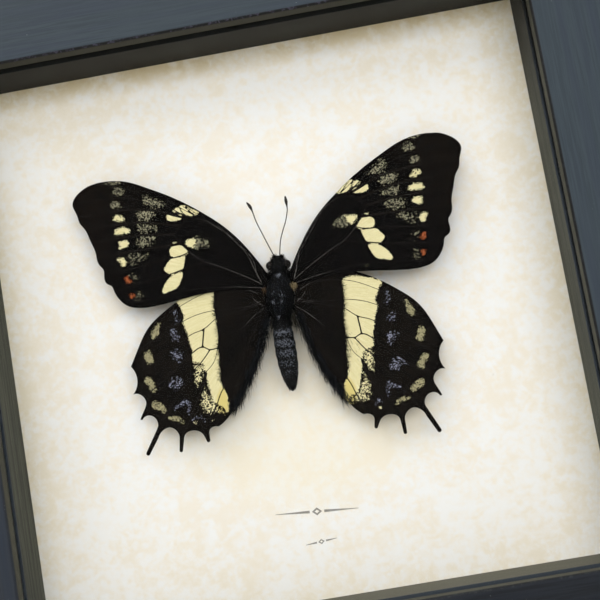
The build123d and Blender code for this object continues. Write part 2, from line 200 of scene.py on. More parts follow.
# ---- finishes of the case ---------------------------------------------------------------------
def satin_paint(name, along, light, dark, blue, painted_arris_glint, arris_wear_and_shade):
    """Blue-black satin paint over grain along the rail, in light and dark tones that carry the painted sheen
    or painted shade of its side; the inner arris is worn, and painted near-black as painted shade with
    painted glints in patches; the lip's side is painted olive-brown as a painted reflection of the
    parchment, with painted shade towards the top.
    """
    f = Finish(name)
    stretch = (0.035, 1.0, 1.0) if along == "x" else (1.0, 1.0, 0.035)
    grain = f.noise(2.6, 4, 0.6, places=f.places(stretch))
    brushed = f.noise(0.5, 3, 0.5, places=f.places(stretch))
    cloud = f.noise(0.03, 3, 0.5)
    peel = f.noise(2.2, 2, 0.5)
    x, _, z = f.axes(f.places())
    up = z - opening_z
    past_sight = abs(x).or_more(abs(up)) - half_sight
    lip_side = 1 - past_sight.over(0.02, 0.12)
    # Painted shade along the inner arris as well as its worn paint, in a share given per rail.
    arris = (1 - past_sight.over(0.42, 0.72)) * (1 - lip_side) * arris_wear_and_shade
    paint = f.blend(grain.over(0.37, 0.63), dark, light)
    paint = f.blend(brushed.over(0.4, 0.7) * 0.6, paint, blue)
    paint = f.blend(cloud.over(0.35, 0.7) * 0.4, paint, light)
    # Painted glints in patches on the arris, with near-black painted shade between them, in a glinting
    # colour given per rail.
    worn = f.noise(1.2, 4, 0.75).over(0.52, 0.62)
    paint = f.blend(arris, paint, f.blend(worn, srgb(8, 8, 10), painted_arris_glint))
    # Painted light on the lip's side: olive-brown as a painted reflection of the parchment, with painted
    # shade towards the top of the case.
    lip = f.blend(grain, srgb(56, 57, 48), srgb(74, 73, 62))
    lip = f.blend(up.over(40, 66) * 0.6, lip, srgb(38, 36, 26))
    paint = f.blend(lip_side, paint, lip)
    paint = f.blend(f.dust(0.42, 0.046, 0.4) * 0.8, paint, srgb(128, 134, 138))
    rough = 0.42 + 0.12 * grain + 0.25 * lip_side
    return f.made_of(paint, rough, (grain * 0.5 + peel * 0.5, 0.03, 0.5), specular_ior_level=0.3)


def flat_black_paint(name, along):
    """Thin flat paint on the spacer strips, finely sanded along them; their olive grey is a painted
    reflection of the parchment, darker at the top of the case as painted shade, lighter on the bottom strip
    as painted light, and their front edge is painted lighter low down and darker at the top.
    """
    f = Finish(name)
    stretch = (0.02, 1.0, 1.0) if along == "x" else (1.0, 1.0, 0.02)
    lines = f.noise(1.3, 4, 0.65, places=f.places(stretch))
    cloud = f.noise(0.12, 3, 0.5)
    _, y, z = f.axes(f.places())
    up = z - opening_z
    against_glass = 1 - (y - strip_front_y).over(0.125, 0.625)
    painted_shade_toward_top = up.over(30, 66)
    # The olive grey of the black strips is a painted reflection of the parchment.
    paint = f.blend(lines.over(0.38, 0.62), srgb(53, 55, 49), srgb(85, 87, 78))
    # Painted shade towards the top of the case.
    paint = f.blend(painted_shade_toward_top ** 1.5 * 0.92, paint, srgb(30, 27, 22))
    paint = f.blend(cloud.over(0.4, 0.7) * 0.3, paint, srgb(58, 60, 56))
    # Painted light on the bottom strip, which faces up.
    painted_light_toward_bottom = 1 - up.over(-66, -56)
    paint = f.blend(painted_light_toward_bottom * 0.7, paint, srgb(104, 102, 90))
    # The front edge against the glass: blue-black, painted lighter low down and darker at the top as painted
    # shade.
    paint = f.blend(against_glass, paint, f.blend(painted_shade_toward_top, srgb(56, 62, 70), srgb(24, 26, 26)))
    paint = f.blend(f.dust(0.3, 0.05, 0.8) * 0.8, paint, srgb(150, 146, 134))
    return f.made_of(paint, 0.66 + lines * 0.15, (lines, 0.05, 0.5), specular_ior_level=0.25)


def clear_glass(name):
    """Clear glass with a faint green cast and a reflection that grows as it is seen aslant."""
    f = Finish(name)
    smear = f.noise(0.05, 3, 0.5)
    clear = f.node("ShaderNodeBsdfTransparent", None, [(0.99, 0.995, 0.99, 1)])
    gloss = f.node("ShaderNodeBsdfGlossy", None, {"Color": (1, 1, 1, 1), "Roughness": 0.02 + smear * 0.04})
    slant = f.node("ShaderNodeLayerWeight", None, {"Blend": 0.5}, 1)
    share = slant ** 5 * 0.6 + 0.002
    return f.done(f.node("ShaderNodeMixShader", None, [share, clear, gloss]))


def ornament(x, up, start, end, half_rule, half_diamond):
    """A printed rule that tapers to both ends, with a small hollow diamond in a gap at its middle."""
    run, rise = end[0] - start[0], end[1] - start[1]
    tilt = atan2(rise, run)
    dx = x - (start[0] + end[0]) / 2
    dz = up - (start[1] + end[1]) / 2
    along = abs(dx * cos(tilt) + dz * sin(tilt))
    across = abs(dz * cos(tilt) - dx * sin(tilt))
    swell = 1 - along / (hypot(run, rise) / 2)
    rule = (swell * half_rule + 0.05 - across).over(-0.05, 0.05) * swell.over(0, 0.02)
    gap = along.over(half_diamond * 1.35, half_diamond * 1.5)
    diamond = (half_diamond - along - across * 1.3).over(-0.06, 0.06)
    hollow = (half_diamond * 0.45 - along - across * 1.3).over(-0.05, 0.05)
    return rule * gap + diamond * (1 - hollow)


def parchment(name):
    """Mottled cream parchment paper with a small printed ornament under the specimen, and painted shade on
    it: tan towards the rim, less so at the foot, a darker painted shadow under the top strip and a tan
    painted shadow under the wings.
    """
    f = Finish(name)
    x, _, z = f.axes(f.places())
    wave = f.noise(0.045, 3, 0.5, 0.4)
    cloud = f.noise(0.16, 5, 0.6, 0.5)
    small = f.noise(0.6, 4, 0.6, 0.3)
    fibre = f.noise(2.6, 3, 0.6, places=f.places((0.4, 1, 1)))
    mottle = cloud * 0.5 + small * 0.5 + (wave - 0.5) * 0.25
    up = z - opening_z
    edge_x = abs(x) / half_sight
    edge_z = abs(up) / half_sight
    # Painted shade near the rim, darker and tan at the top and sides and less at the foot.
    above_foot = up.over(-62, -40)
    painted_rim_shade = (edge_x ** 8 + edge_z ** 8).over(0.2, 1.3) * (0.3 + 0.7 * above_foot)
    # Warmer tan towards the rim all round: partly the paper's own tone, partly painted shade.
    outer_tan_and_shade = (edge_x ** 3 + edge_z ** 3).over(0.1, 0.9)
    paper = f.blend(mottle.over(0.37, 0.61), srgb(241, 241, 244), srgb(241, 234, 226))
    paper = f.blend(outer_tan_and_shade * 0.12, paper, srgb(229, 219, 198))
    paper = f.blend(mottle.over(0.45, 0.66) * (0.07 + 0.3 * outer_tan_and_shade), paper, srgb(229, 220, 201))
    # Painted shadow under the wings: a soft tan patch below the specimen.
    from_wings = (x / 42) ** 2 + ((up + 21) / 30) ** 2
    painted_wing_shadow = (1 - from_wings).over(0, 0.7)
    paper = f.blend(painted_wing_shadow * 0.35, paper, srgb(240, 229, 201))
    # Painted shadow of the top strip along the paper's top edge.
    painted_top_shadow = up.over(63, 69)
    paper = f.blend(painted_rim_shade * (0.3 + 0.4 * small.over(0.35, 0.65)), paper, srgb(222, 210, 178))
    paper = f.blend(painted_top_shadow * (0.25 + 0.35 * cloud.over(0.4, 0.62)), paper, srgb(196, 174, 122))
    paper = f.blend(fibre.over(0.6, 0.75) * 0.2, paper, srgb(228, 220, 200))
    paper = f.blend(f.dust(0.12, 0.03, 0.7) * 0.4, paper, srgb(150, 138, 112))
    upper_rule = ornament(x, up, (-10.7, -47.7), (9.8, -49.4), 0.34, 1.25)
    lower_rule = ornament(x, up, (-4.5, -56.1), (3.3, -55.6), 0.24, 0.8)
    worn = 0.6 + 0.4 * f.noise(3.0, 2, 0.5)
    paper = f.blend((upper_rule + lower_rule) * worn, paper, srgb(104, 102, 98))
    relief = (fibre * 0.5 + cloud * 0.5, 0.05, 0.3)
    return f.made_of(paper, 0.85 - small * 0.1, relief, specular_ior_level=0.1)


def foam_board(name):
    """White paper-faced foam board, its bubbles showing at the cut edges."""
    f = Finish(name)
    bubbles = f.specks(1.6, 0.42)
    tone = f.noise(0.2, 3)
    white = f.blend(tone, srgb(228, 227, 220), srgb(240, 239, 233))
    white = f.blend(bubbles * 0.25, white, srgb(205, 204, 198))
    return f.made_of(white, 0.7 + tone * 0.1, (bubbles, 0.06, 0.5))


def pressed_fibre(name):
    """Brown hardboard: flecked fibres in every direction, and the fine weave of the press screen."""
    f = Finish(name)
    one_way = f.noise(1.1, 4, 0.65, 0.8, places=f.places((0.5, 1, 2.2)))
    other_way = f.noise(1.1, 4, 0.65, 0.8, places=f.places((2.2, 1, 0.5)))
    cloud = f.noise(0.05, 3)
    cells = {"Vector": f.places(), "Scale": 0.9, "Randomness": 0.35}
    weave = f.node("ShaderNodeTexVoronoi", {"distance": "CHEBYCHEV"}, cells, "Distance")
    brown = f.blend((one_way + other_way).over(0.75, 1.25), srgb(104, 72, 46), srgb(152, 114, 78))
    brown = f.blend(cloud.over(0.4, 0.65) * 0.5, brown, srgb(126, 88, 56))
    flecks = f.noise(1.9, 2).over(0.62, 0.7)
    brown = f.blend(flecks * 0.5, brown, srgb(78, 52, 34))
    return f.made_of(brown, 0.75 + one_way * 0.15, (weave * 0.6 + one_way * 0.4, 0.12, 0.7))


def plated_metal(name, light, dark, roughness):
    """Thin bright plating, brushed a little and dull in places."""
    f = Finish(name)
    brushed = f.noise(4.5, 3, 0.6, places=f.places((0.12, 1, 1)))
    dull = f.noise(0.5, 4, 0.6)
    scratches = f.noise(5.0, 2, 0.5, places=f.places((1, 1, 0.06))).over(0.66, 0.72)
    colour = f.blend(brushed * 0.5 + dull.over(0.45, 0.7) * 0.5, light, dark)
    rough = roughness + dull * 0.22 + scratches * 0.12
    return f.made_of(colour, rough, (brushed * 0.6 + scratches * 0.4, 0.012, 0.6), metallic=1.0)


def black_rubber(name):
    """Matt moulded rubber with a fine even tooth."""
    f = Finish(name)
    tooth = f.noise(5.0, 3)
    tone = f.noise(0.8, 2)
    black = f.blend(tone, srgb(36, 36, 37), srgb(52, 51, 51))
    return f.made_of(black, 0.72 + tooth * 0.15, (tooth, 0.03, 0.6))


def cut_cork(name):
    """Cork: tan granules with dark joints."""
    f = Finish(name)
    tone = f.grains(1.9)
    joints = f.specks(1.9, 0.35)
    tan = f.blend(tone, srgb(150, 112, 74), srgb(196, 158, 112))
    tan = f.blend((1 - joints) * 0.4, tan, srgb(96, 66, 42))
    return f.made_of(tan, 0.85 + tone * 0.05, (joints, 0.08, 0.6))


# ---- finishes of the specimen -----------------------------------------------------------------
def wing_scales(name, ground, warm, apex=None):
    """Velvety wing scales: a black ground with cream, dusty, blue and rust markings.

    The mesh says how thickly each marking covers each place, and single scales come and go with it.
    """
    f = Finish(name)
    rows = f.attribute("scale_rows", "Vector")
    grain = f.grains(4.4)
    fine = f.grains(6.0)
    hair = f.node("ShaderNodeVectorMath", {"operation": "MULTIPLY"}, [rows, (5.0, 0.22, 1.0)])
    streak = f.noise(1.0, 3, 0.6, places=hair)
    broad = f.noise(0.35, 3, 0.5, places=rows)
    vein_gap = f.attribute("vein_gap")
    speckled = grain * 0.94 + fine * 0.06
    brushed = grain * 0.62 + fine * 0.14 + (streak - 0.25) * 0.48

    def cover(marking, mixed):
        return (f.attribute(marking) - mixed).over(-0.03, 0.04)

    black = f.blend(streak.over(0.35, 0.7), ground, warm)
    black = f.blend(broad.over(0.45, 0.7) * 0.5, black, srgb(6, 6, 7))
    if apex:
        from_root = f.attribute("from_root")
        black = f.blend(from_root.over(33, 50) * streak.over(0.3, 0.7), black, apex)
    black = f.blend(fine.over(0.94, 0.98) * 0.3, black, srgb(70, 66, 62))
    cream = f.blend(streak.over(0.3, 0.62), srgb(228, 220, 180), srgb(216, 206, 161))
    cream = f.blend(fine.over(0.70, 0.95) * 0.35, cream, srgb(198, 188, 140))
    cream = f.blend(f.attribute("yellow").over(0.0, 0.9), cream, srgb(212, 196, 128))
    dust = f.blend(fine, srgb(168, 163, 138), srgb(92, 88, 74))
    lunule = f.blend(fine * 0.5 + grain * 0.5, srgb(180, 172, 136), srgb(98, 93, 72))
    blue = f.blend(fine, srgb(156, 158, 180), srgb(84, 86, 106))
    rust = f.blend(fine, srgb(176, 100, 60), srgb(118, 56, 34))
    colour = f.blend(cover("dust", speckled), black, dust)
    colour = f.blend(cover("blue", speckled), colour, blue)
    colour = f.blend(cover("lunule", grain * 0.8 + streak * 0.3), colour, lunule)
    colour = f.blend(cover("rust", speckled), colour, rust)
    colour = f.blend(cover("cream", brushed), colour, cream)
    near_vein = 1 - (vein_gap + (fine - 0.5) * 0.05).over(-0.03, 0.05)
    colour = f.blend(near_vein, colour, srgb(20, 17, 15))
    relief = (grain * 0.35 + streak * 0.65, 0.05, 0.8)
    return f.made_of(colour, 0.78 + grain * 0.15, relief, specular_ior_level=0.02)


def wing_vein(name):
    """Vein tubes: pale where the scales have rubbed off, black beyond."""
    f = Finish(name)
    past_pale = f.attribute("past_pale")
    tone = f.noise(1.7, 4, 0.7)
    rubbed = (1 - past_pale.over(-4.0, 1.0)) * tone.over(0.44, 0.56)
    colour = f.blend(rubbed, srgb(17, 15, 14), srgb(136, 131, 131))
    return f.made_of(colour, 0.45 + tone * 0.2, (tone, 0.03, 0.5), specular_ior_level=0.2)


def fine_hair(name, dark, light, roughness, gloss=0.2):
    """Hair whose colour changes from strand to strand and along each one."""
    f = Finish(name)
    strand = f.attribute("strand")
    along = f.attribute("along")
    patch = f.noise(0.6, 3)
    colour = f.blend(strand * 0.6 + patch * 0.4, dark, light)
    colour = f.blend(along.over(0.4, 1.0) * 0.35, colour, light)
    return f.made_of(colour, roughness + patch * 0.2, specular_ior_level=gloss)


def body_skin(name):
    """Black skin under the hair, with a faint blue bloom."""
    f = Finish(name)
    bloom = f.noise(1.4, 4, 0.6)
    grit = f.grains(5.0)
    colour = f.blend(bloom.over(0.45, 0.7), srgb(6, 6, 6), srgb(20, 23, 30))
    return f.made_of(colour, 0.5 + grit * 0.2, (grit * 0.5 + bloom, 0.08, 0.7), specular_ior_level=0.1)


def abdomen_scales(name):
    """Abdomen: blue-grey scales on black, thick in the middle and thin at the sides and tip."""
    f = Finish(name)
    grain = f.grains(3.6, f.places((1.2, 1.2, 0.8)))
    net = f.noise(2.2, 4, 0.7)
    cover = f.attribute("bloom")
    ring = f.attribute("groove")
    bloom = (cover + (net - 0.5) * 1.5 - grain * 0.8).over(-0.04, 0.12)
    scale = f.blend(grain, srgb(84, 87, 98), srgb(38, 41, 49))
    colour = f.blend(bloom, srgb(10, 11, 12), scale)
    colour = f.blend(ring * 0.9, colour, srgb(9, 9, 10))
    relief = (grain * 0.6 + net * 0.4, 0.06, 0.7)
    return f.made_of(colour, 0.6 + grain * 0.2, relief, specular_ior_level=0.15)


def eye_lens(name):
    """Glossy black-brown eyes with fine facets."""
    f = Finish(name)
    facets = f.specks(7.0, 0.5)
    tone = f.noise(1.0, 2)
    colour = f.blend(tone, srgb(8, 7, 7), srgb(22, 17, 14))
    return f.made_of(colour, 0.2 + tone * 0.1, (facets, 0.012, 0.4), specular_ior_level=0.15)


def horn(name, ringed=False):
    """Smooth black-brown horn of the feelers and legs."""
    f = Finish(name)
    tone = f.noise(1.8, 3)
    colour = f.blend(tone.over(0.35, 0.65), srgb(14, 12, 11), srgb(34, 29, 26))
    if ringed:
        colour = f.blend(f.attribute("ring").over(0.2, 0.8) * 0.8, colour, srgb(76, 70, 64))
    return f.made_of(colour, 0.42 + tone * 0.2, (tone, 0.02, 0.5), specular_ior_level=0.3)


# ---- dressing the case ------------------------------------------------------------------------
def dress(names, material):
    """Gives CAD nodes their finish."""
    for name in names:
        node = nodes[name]
        node.data.materials.clear()
        node.data.materials.append(material)


zinc = plated_metal("bright_zinc", srgb(206, 208, 210), srgb(150, 153, 158), 0.24)
brass = plated_metal("brass_plating", srgb(224, 190, 112), srgb(176, 138, 72), 0.2)
# One satin paint in lighter and darker copies: painted sheen on the top and right rails, painted shade on
# the left rail and, darker still, the bottom one.
paints_with_painted_sheen = (srgb(53, 63, 71), srgb(44, 54, 62), srgb(45, 53, 67))
paints_in_painted_shade = (srgb(43, 48, 56), srgb(35, 40, 47), srgb(30, 41, 57))
paints_in_deeper_painted_shade = (srgb(27, 32, 40), srgb(12, 16, 22), srgb(12, 19, 34))
# Each rail: the way its grain runs, the light, dark and blue of its paint, the colour of the glints at its
# arris, and how much its arris is worn and shaded. The paints hold painted sheen or painted shade; the arris
# holds painted glints and painted shade besides its worn paint.
for rail, along, paints, painted_arris_glint, arris_wear_and_shade in (
    ("rail_top", "x", paints_with_painted_sheen, srgb(60, 58, 74), 1.0),
    ("rail_right", "z", paints_with_painted_sheen, srgb(27, 30, 35), 1.0),
    ("rail_left", "z", paints_in_painted_shade, srgb(38, 42, 48), 0.3),
    ("rail_bottom", "x", paints_in_deeper_painted_shade, srgb(58, 62, 62), 0.4),
):
    dress([rail], satin_paint(f"painted_{rail}", along, *paints, painted_arris_glint, arris_wear_and_shade))
dress(["spacer_top", "spacer_bottom"], flat_black_paint("painted_spacer_level", "x"))
dress(["spacer_left", "spacer_right"], flat_black_paint("painted_spacer_upright", "z"))
dress(["glass_pane"], clear_glass("clear_glass"))
dress(["parchment_sheet"], parchment("parchment_paper"))
dress(["mounting_board"], foam_board("foam_board"))
dress(["backing_board"], pressed_fibre("hardboard"))
dress(["corner_v_nails", "turn_button_screws", "sawtooth_hanger", "hanger_nails", "specimen_pin"], zinc)
dress([name for name in nodes if name.startswith("turn_button_") and name != "turn_button_screws"], brass)
dress(["wall_bumpers"], black_rubber("black_rubber"))
dress(["thorax_pad"], cut_cork("cork_pad"))
dress(["legs"], horn("leg_horn"))
dress(["eyes"], eye_lens("eye_lens"))


# ---- shapes of the specimen -------------------------------------------------------------------
def at(u, v, h):
    """A place of the specimen, in mm, as a point of the scene."""
    return (specimen_middle + to_right * u + to_head * v + off_paper * h) * MM


def many_at(places):
    """Many places of the specimen at once."""
    basis = np.array([to_right, to_head, off_paper])
    return (np.array(specimen_middle) + np.asarray(places, float) @ basis) * MM


def smooth_line(points, steps, closed=False):
    """A smooth line through a few points, with that many steps from each to the next."""
    points = np.array(points, float)
    if closed:
        padded = np.vstack([points[-1:], points, points[:2]])
    else:
        padded = np.vstack([2 * points[:1] - points[1:2], points, 2 * points[-1:] - points[-2:-1]])
    t = np.linspace(0, 1, steps, endpoint=False)[:, None]
    runs = []
    for i in range(len(padded) - 3):
        a, b, c, d = padded[i:i + 4]
        bend = 2 * a - 5 * b + 4 * c - d
        runs.append(0.5 * (2 * b + (c - a) * t + bend * t ** 2 + (3 * b - a - 3 * c + d) * t ** 3))
    if not closed:
        runs.append(points[-1:])
    return np.vstack(runs)


def run_along(line):
    """How far along a line each of its points is."""
    return np.concatenate([[0], np.cumsum(np.linalg.norm(np.diff(line, axis=0), axis=1))])


def distance_to_line(places, line):
    """How far each place is from a line of points."""
    nearest = np.full(len(places), np.inf)
    for start, step in zip(line[:-1], line[1:] - line[:-1]):
        share = np.clip((places - start) @ step / max(step @ step, 1e-12), 0, 1)
        away = places - start - share[:, None] * step
        nearest = np.minimum(nearest, np.hypot(away[:, 0], away[:, 1]))
    return nearest


def depth_in_shape(places, shape):
    """How far inside a closed shape each place is, negative outside it."""
    ring = np.vstack([shape, shape[:1]])
    x, y = places.T
    inside = np.zeros(len(places), bool)
    for (x0, y0), (x1, y1) in zip(ring[:-1], ring[1:]):
        if y0 != y1:
            inside ^= ((y0 > y) != (y1 > y)) & (x < (x1 - x0) * (y - y0) / (y1 - y0) + x0)
    distance = distance_to_line(places, ring)
    return np.where(inside, distance, -distance)


def put(name, data):
    """An object with that data, in the scene."""
    made = bpy.data.objects.new(name, data)
    bpy.context.scene.collection.objects.link(made)
    return made


def make_mesh(name, places, faces, finish, slot, body="case", **values):
    """A smooth mesh piece at specimen places that rides on a body, with numbers kept on its points."""
    mesh = bpy.data.meshes.new(name)
    mesh.from_pydata([tuple(point) for point in many_at(places)], [], faces)
    mesh.polygons.foreach_set("use_smooth", [True] * len(mesh.polygons))
    for label, numbers in values.items():
        numbers = np.asarray(numbers, np.float32)
        kind = "FLOAT" if numbers.ndim == 1 else "FLOAT_VECTOR"
        layer = mesh.attributes.new(label, kind, "POINT")
        layer.data.foreach_set("value" if numbers.ndim == 1 else "vector", numbers.ravel())
    mesh.materials.append(finish)
    piece = put(name, mesh)
    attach(piece, body)
    return piece


def ring_faces(rings, sides):
    """Faces of a closed tube: a band from each ring of points to the next, and a cap at each end."""
    faces = []
    for i in range(rings - 1):
        for k in range(sides):
            n = (k + 1) % sides
            faces.append((i * sides + k, i * sides + n, (i + 1) * sides + n, (i + 1) * sides + k))
    faces.append(tuple(reversed(range(sides))))
    faces.append(tuple((rings - 1) * sides + k for k in range(sides)))
    return faces


def numbered_from(base, faces):
    """The same faces on points that start at another number."""
    return [tuple(i + base for i in face) for face in faces]


def tube_parts(line, radii, sides):
    """Points and faces of a closed round tube along a line of specimen places."""
    points = []
    count = len(line)
    for i, middle in enumerate(line):
        along = line[min(i + 1, count - 1)] - line[max(i - 1, 0)]
        along /= np.linalg.norm(along)
        across = np.cross(along, (0, 0, 1.0))
        across /= max(np.linalg.norm(across), 1e-9)
        raised = np.cross(across, along)
        for k in range(sides):
            turn = 2 * pi * k / sides
            points.append(middle + radii[i] * (across * cos(turn) + raised * sin(turn)))
    return points, ring_faces(count, sides)


def turned_back(places, side, root, turn):
    """Specimen places turned back to the left wing's template."""
    u = side * places[:, 0] - root[0]
    v = places[:, 1] - root[1]
    a = radians(turn)
    return np.stack([root[0] + u * cos(a) + v * sin(a), root[1] - u * sin(a) + v * cos(a)], 1)


def turned_out(places, side, root, turn):
    """Template places turned to the wing's own side."""
    places = np.asarray(places, float)
    u = places[:, 0] - root[0]
    v = places[:, 1] - root[1]
    a = radians(turn)
    return np.stack([side * (root[0] + u * cos(a) - v * sin(a)), root[1] + u * sin(a) + v * cos(a)], 1)


# ---- wing patterns ----------------------------------------------------------------------------
# Each marking: its scales, how softly it ends in mm, how thick it is, and its outline on the left wing. The
# left wing is the template for both sides.
forewing_markings = (
    ("dust", 0.55, 0.55, ((39.4, 30.3), (38.3, 31.8), (37.0, 31.8), (36.0, 30.6), (36.7, 29.4),
        (38.9, 29.8))),
    ("dust", 0.5, 0.66, ((40.1, 27.2), (39.4, 28.1), (37.6, 28.0), (37.3, 26.4), (38.7, 26.4),
        (39.8, 26.8))),
    ("cream", 0.6, 0.72, ((39.7, 23.9), (39.2, 24.8), (37.8, 25.1), (36.6, 24.0), (36.7, 22.9),
        (39.0, 23.0))),
    ("cream", 0.6, 0.9, ((39.6, 20.9), (39.0, 21.4), (36.8, 21.7), (35.2, 20.5), (36.3, 19.8),
        (39.3, 19.7))),
    ("cream", 0.5, 0.95, ((39.0, 17.9), (38.2, 18.2), (36.7, 18.3), (35.9, 17.2), (36.6, 16.5),
        (38.2, 16.1), (38.9, 16.4), (38.5, 17.2))),
    ("cream", 0.45, 0.95, ((39.2, 13.6), (38.9, 14.0), (38.1, 14.0), (37.3, 13.3), (37.1, 12.8),
        (37.5, 11.9), (38.3, 12.0), (38.7, 13.0))),
    ("rust", 0.4, 0.85, ((37.9, 9.1), (37.2, 9.2), (36.7, 8.6), (36.4, 7.7), (36.9, 7.4), (37.5, 8.0))),
    ("rust", 0.4, 0.85, ((36.9, 4.7), (36.3, 4.9), (35.9, 4.3), (36.1, 3.9), (36.7, 3.8))),
    ("dust", 0.9, 0.55, ((30.9, 29.2), (29.3, 28.3), (27.6, 27.2), (26.0, 26.0), (28.8, 25.3),
        (30.9, 26.1), (31.8, 27.4))),
    ("dust", 0.9, 0.55, ((33.2, 25.3), (30.4, 25.2), (28.9, 23.6), (30.2, 22.3), (32.8, 22.6),
        (33.7, 24.0))),
    ("dust", 0.8, 0.48, ((33.5, 21.9), (29.3, 21.4), (28.8, 19.9), (30.7, 19.7), (33.1, 19.8))),
    ("dust", 1.0, 0.46, ((33.8, 18.9), (30.1, 19.1), (29.1, 18.2), (30.5, 16.3), (33.0, 16.0),
        (34.5, 17.1))),
    ("dust", 1.1, 0.38, ((36.8, 14.5), (33.4, 15.1), (31.5, 14.1), (32.9, 12.8), (34.9, 11.9),
        (36.1, 12.4))),
    ("dust", 1.0, 0.3, ((37.0, 10.1), (35.1, 9.9), (33.9, 8.8), (35.3, 7.4), (36.2, 8.7))),
    ("dust", 1.0, 0.26, ((35.5, 5.6), (34.2, 5.5), (33.4, 3.7), (35.1, 2.9), (35.7, 3.4))),
    ("cream", 0.22, 1.2, ((26.2, 22.8), (25.7, 23.5), (24.4, 23.5), (22.7, 23.0), (22.3, 22.3),
        (23.0, 21.8), (24.4, 21.6), (25.8, 22.0))),
    ("cream", 0.25, 1.0, ((24.5, 24.2), (23.5, 24.8), (22.9, 24.4), (22.1, 23.2), (23.0, 23.3))),
    ("cream", 0.28, 1.1, ((22.8, 24.8), (21.6, 25.2), (20.1, 24.3), (18.3, 23.2), (19.0, 22.5),
        (20.5, 22.5), (21.7, 23.2))),
    ("cream", 0.7, 1.0, ((22.3, 16.2), (21.5, 16.8), (20.3, 16.9), (19.3, 16.8), (19.4, 15.3),
        (20.0, 14.6), (20.9, 14.4), (21.9, 15.2))),
    ("dust", 1.2, 0.62, ((20.0, 17.1), (17.8, 16.5), (16.4, 15.6), (15.9, 14.5), (17.6, 14.3),
        (20.0, 14.3))),
    ("cream", 0.25, 0.9, ((25.1, 16.4), (24.2, 16.3), (24.7, 15.8))),
    ("cream", 0.2, 1.2, ((26.2, 14.2), (25.6, 15.2), (24.1, 15.5), (23.0, 15.2), (21.7, 13.7),
        (22.2, 13.0), (23.7, 12.9), (25.6, 12.8))),
    ("cream", 0.2, 1.2, ((22.6, 12.5), (23.7, 12.5), (25.3, 12.4), (26.3, 12.1), (27.9, 10.0),
        (26.6, 8.7), (25.2, 9.0), (23.4, 9.6), (22.9, 11.0))),
    ("cream", 0.22, 1.2, ((23.6, 8.6), (25.1, 8.5), (26.2, 8.1), (27.6, 7.0), (28.3, 5.9), (28.8, 4.7),
        (28.5, 4.1), (26.9, 4.5), (25.2, 5.1), (24.1, 6.7))),
    ("dust", 0.4, 0.7, ((22.2, 4.0), (22.6, 4.0), (22.5, 3.7))),
    ("dust", 0.4, 0.6, ((36.8, 32.8), (39.2, 33.1), (41.0, 33.0), (39.0, 32.5))),
)
# Each vein: half the width of its dark line in the markings, how far from the root it is pale, and its
# course.
forewing_veins = (
    (0.07, 23, ((4.3, 3.6), (8.8, 6.3), (15.0, 9.5), (17.9, 10.7), (21.1, 13.3), (23.5, 16.1),
        (24.9, 18.3))),
    (0.05, 24, ((4.5, 4.2), (6.0, 7.8), (7.5, 11.6), (11.2, 16.3), (14.1, 18.9), (16.8, 20.8),
        (21.3, 22.3))),
    (0.05, 22, ((4.3, 3.7), (5.4, 6.2), (6.1, 10.0), (8.6, 13.5), (12.6, 18.1), (15.5, 20.3),
        (18.5, 21.9), (26.0, 27.2))),
    (0.05, 0, ((21.3, 22.3), (22.2, 20.8), (24.9, 18.3))),
    (0.12, 6, ((17.9, 10.7), (22.9, 9.5), (28.3, 8.2), (35.0, 7.0), (40.8, 5.9))),
    (0.12, 0, ((21.5, 13.5), (24.0, 12.7), (28.5, 12.2), (36.0, 11.0), (42.9, 10.4))),
    (0.30, 0, ((23.3, 15.8), (28.0, 15.6), (34.0, 15.4), (44.2, 14.6))),
    (0.30, 0, ((24.9, 18.3), (32.0, 19.0), (38.0, 19.0), (45.3, 18.7))),
    (0.30, 0, ((23.4, 20.3), (31.0, 22.0), (38.0, 22.4), (46.6, 22.2))),
    (0.30, 0, ((22.3, 22.3), (30.0, 25.0), (38.0, 25.8), (48.0, 25.3))),
    (0.10, 0, ((27.0, 24.3), (32.0, 27.6), (38.0, 29.0), (48.4, 29.2))),
    (0.10, 0, ((21.3, 22.3), (28.0, 27.0), (34.0, 30.4), (41.5, 33.0))),
    (0.05, 12, ((3.2, 2.6), (12.0, 3.8), (22.0, 4.2), (32.0, 3.0), (38.0, 2.6))),
    (0.13, 0, ((26.2, 23.9), (24.0, 23.5), (22.3, 23.1), (21.3, 22.3))),
    (0.05, 0, ((21.9, 25.0), (19.2, 22.6))),
    (0.05, 0, ((21.2, 25.0), (18.7, 22.8))),
    (0.06, 0, ((22.8, 24.8), (21.9, 23.0))),
)
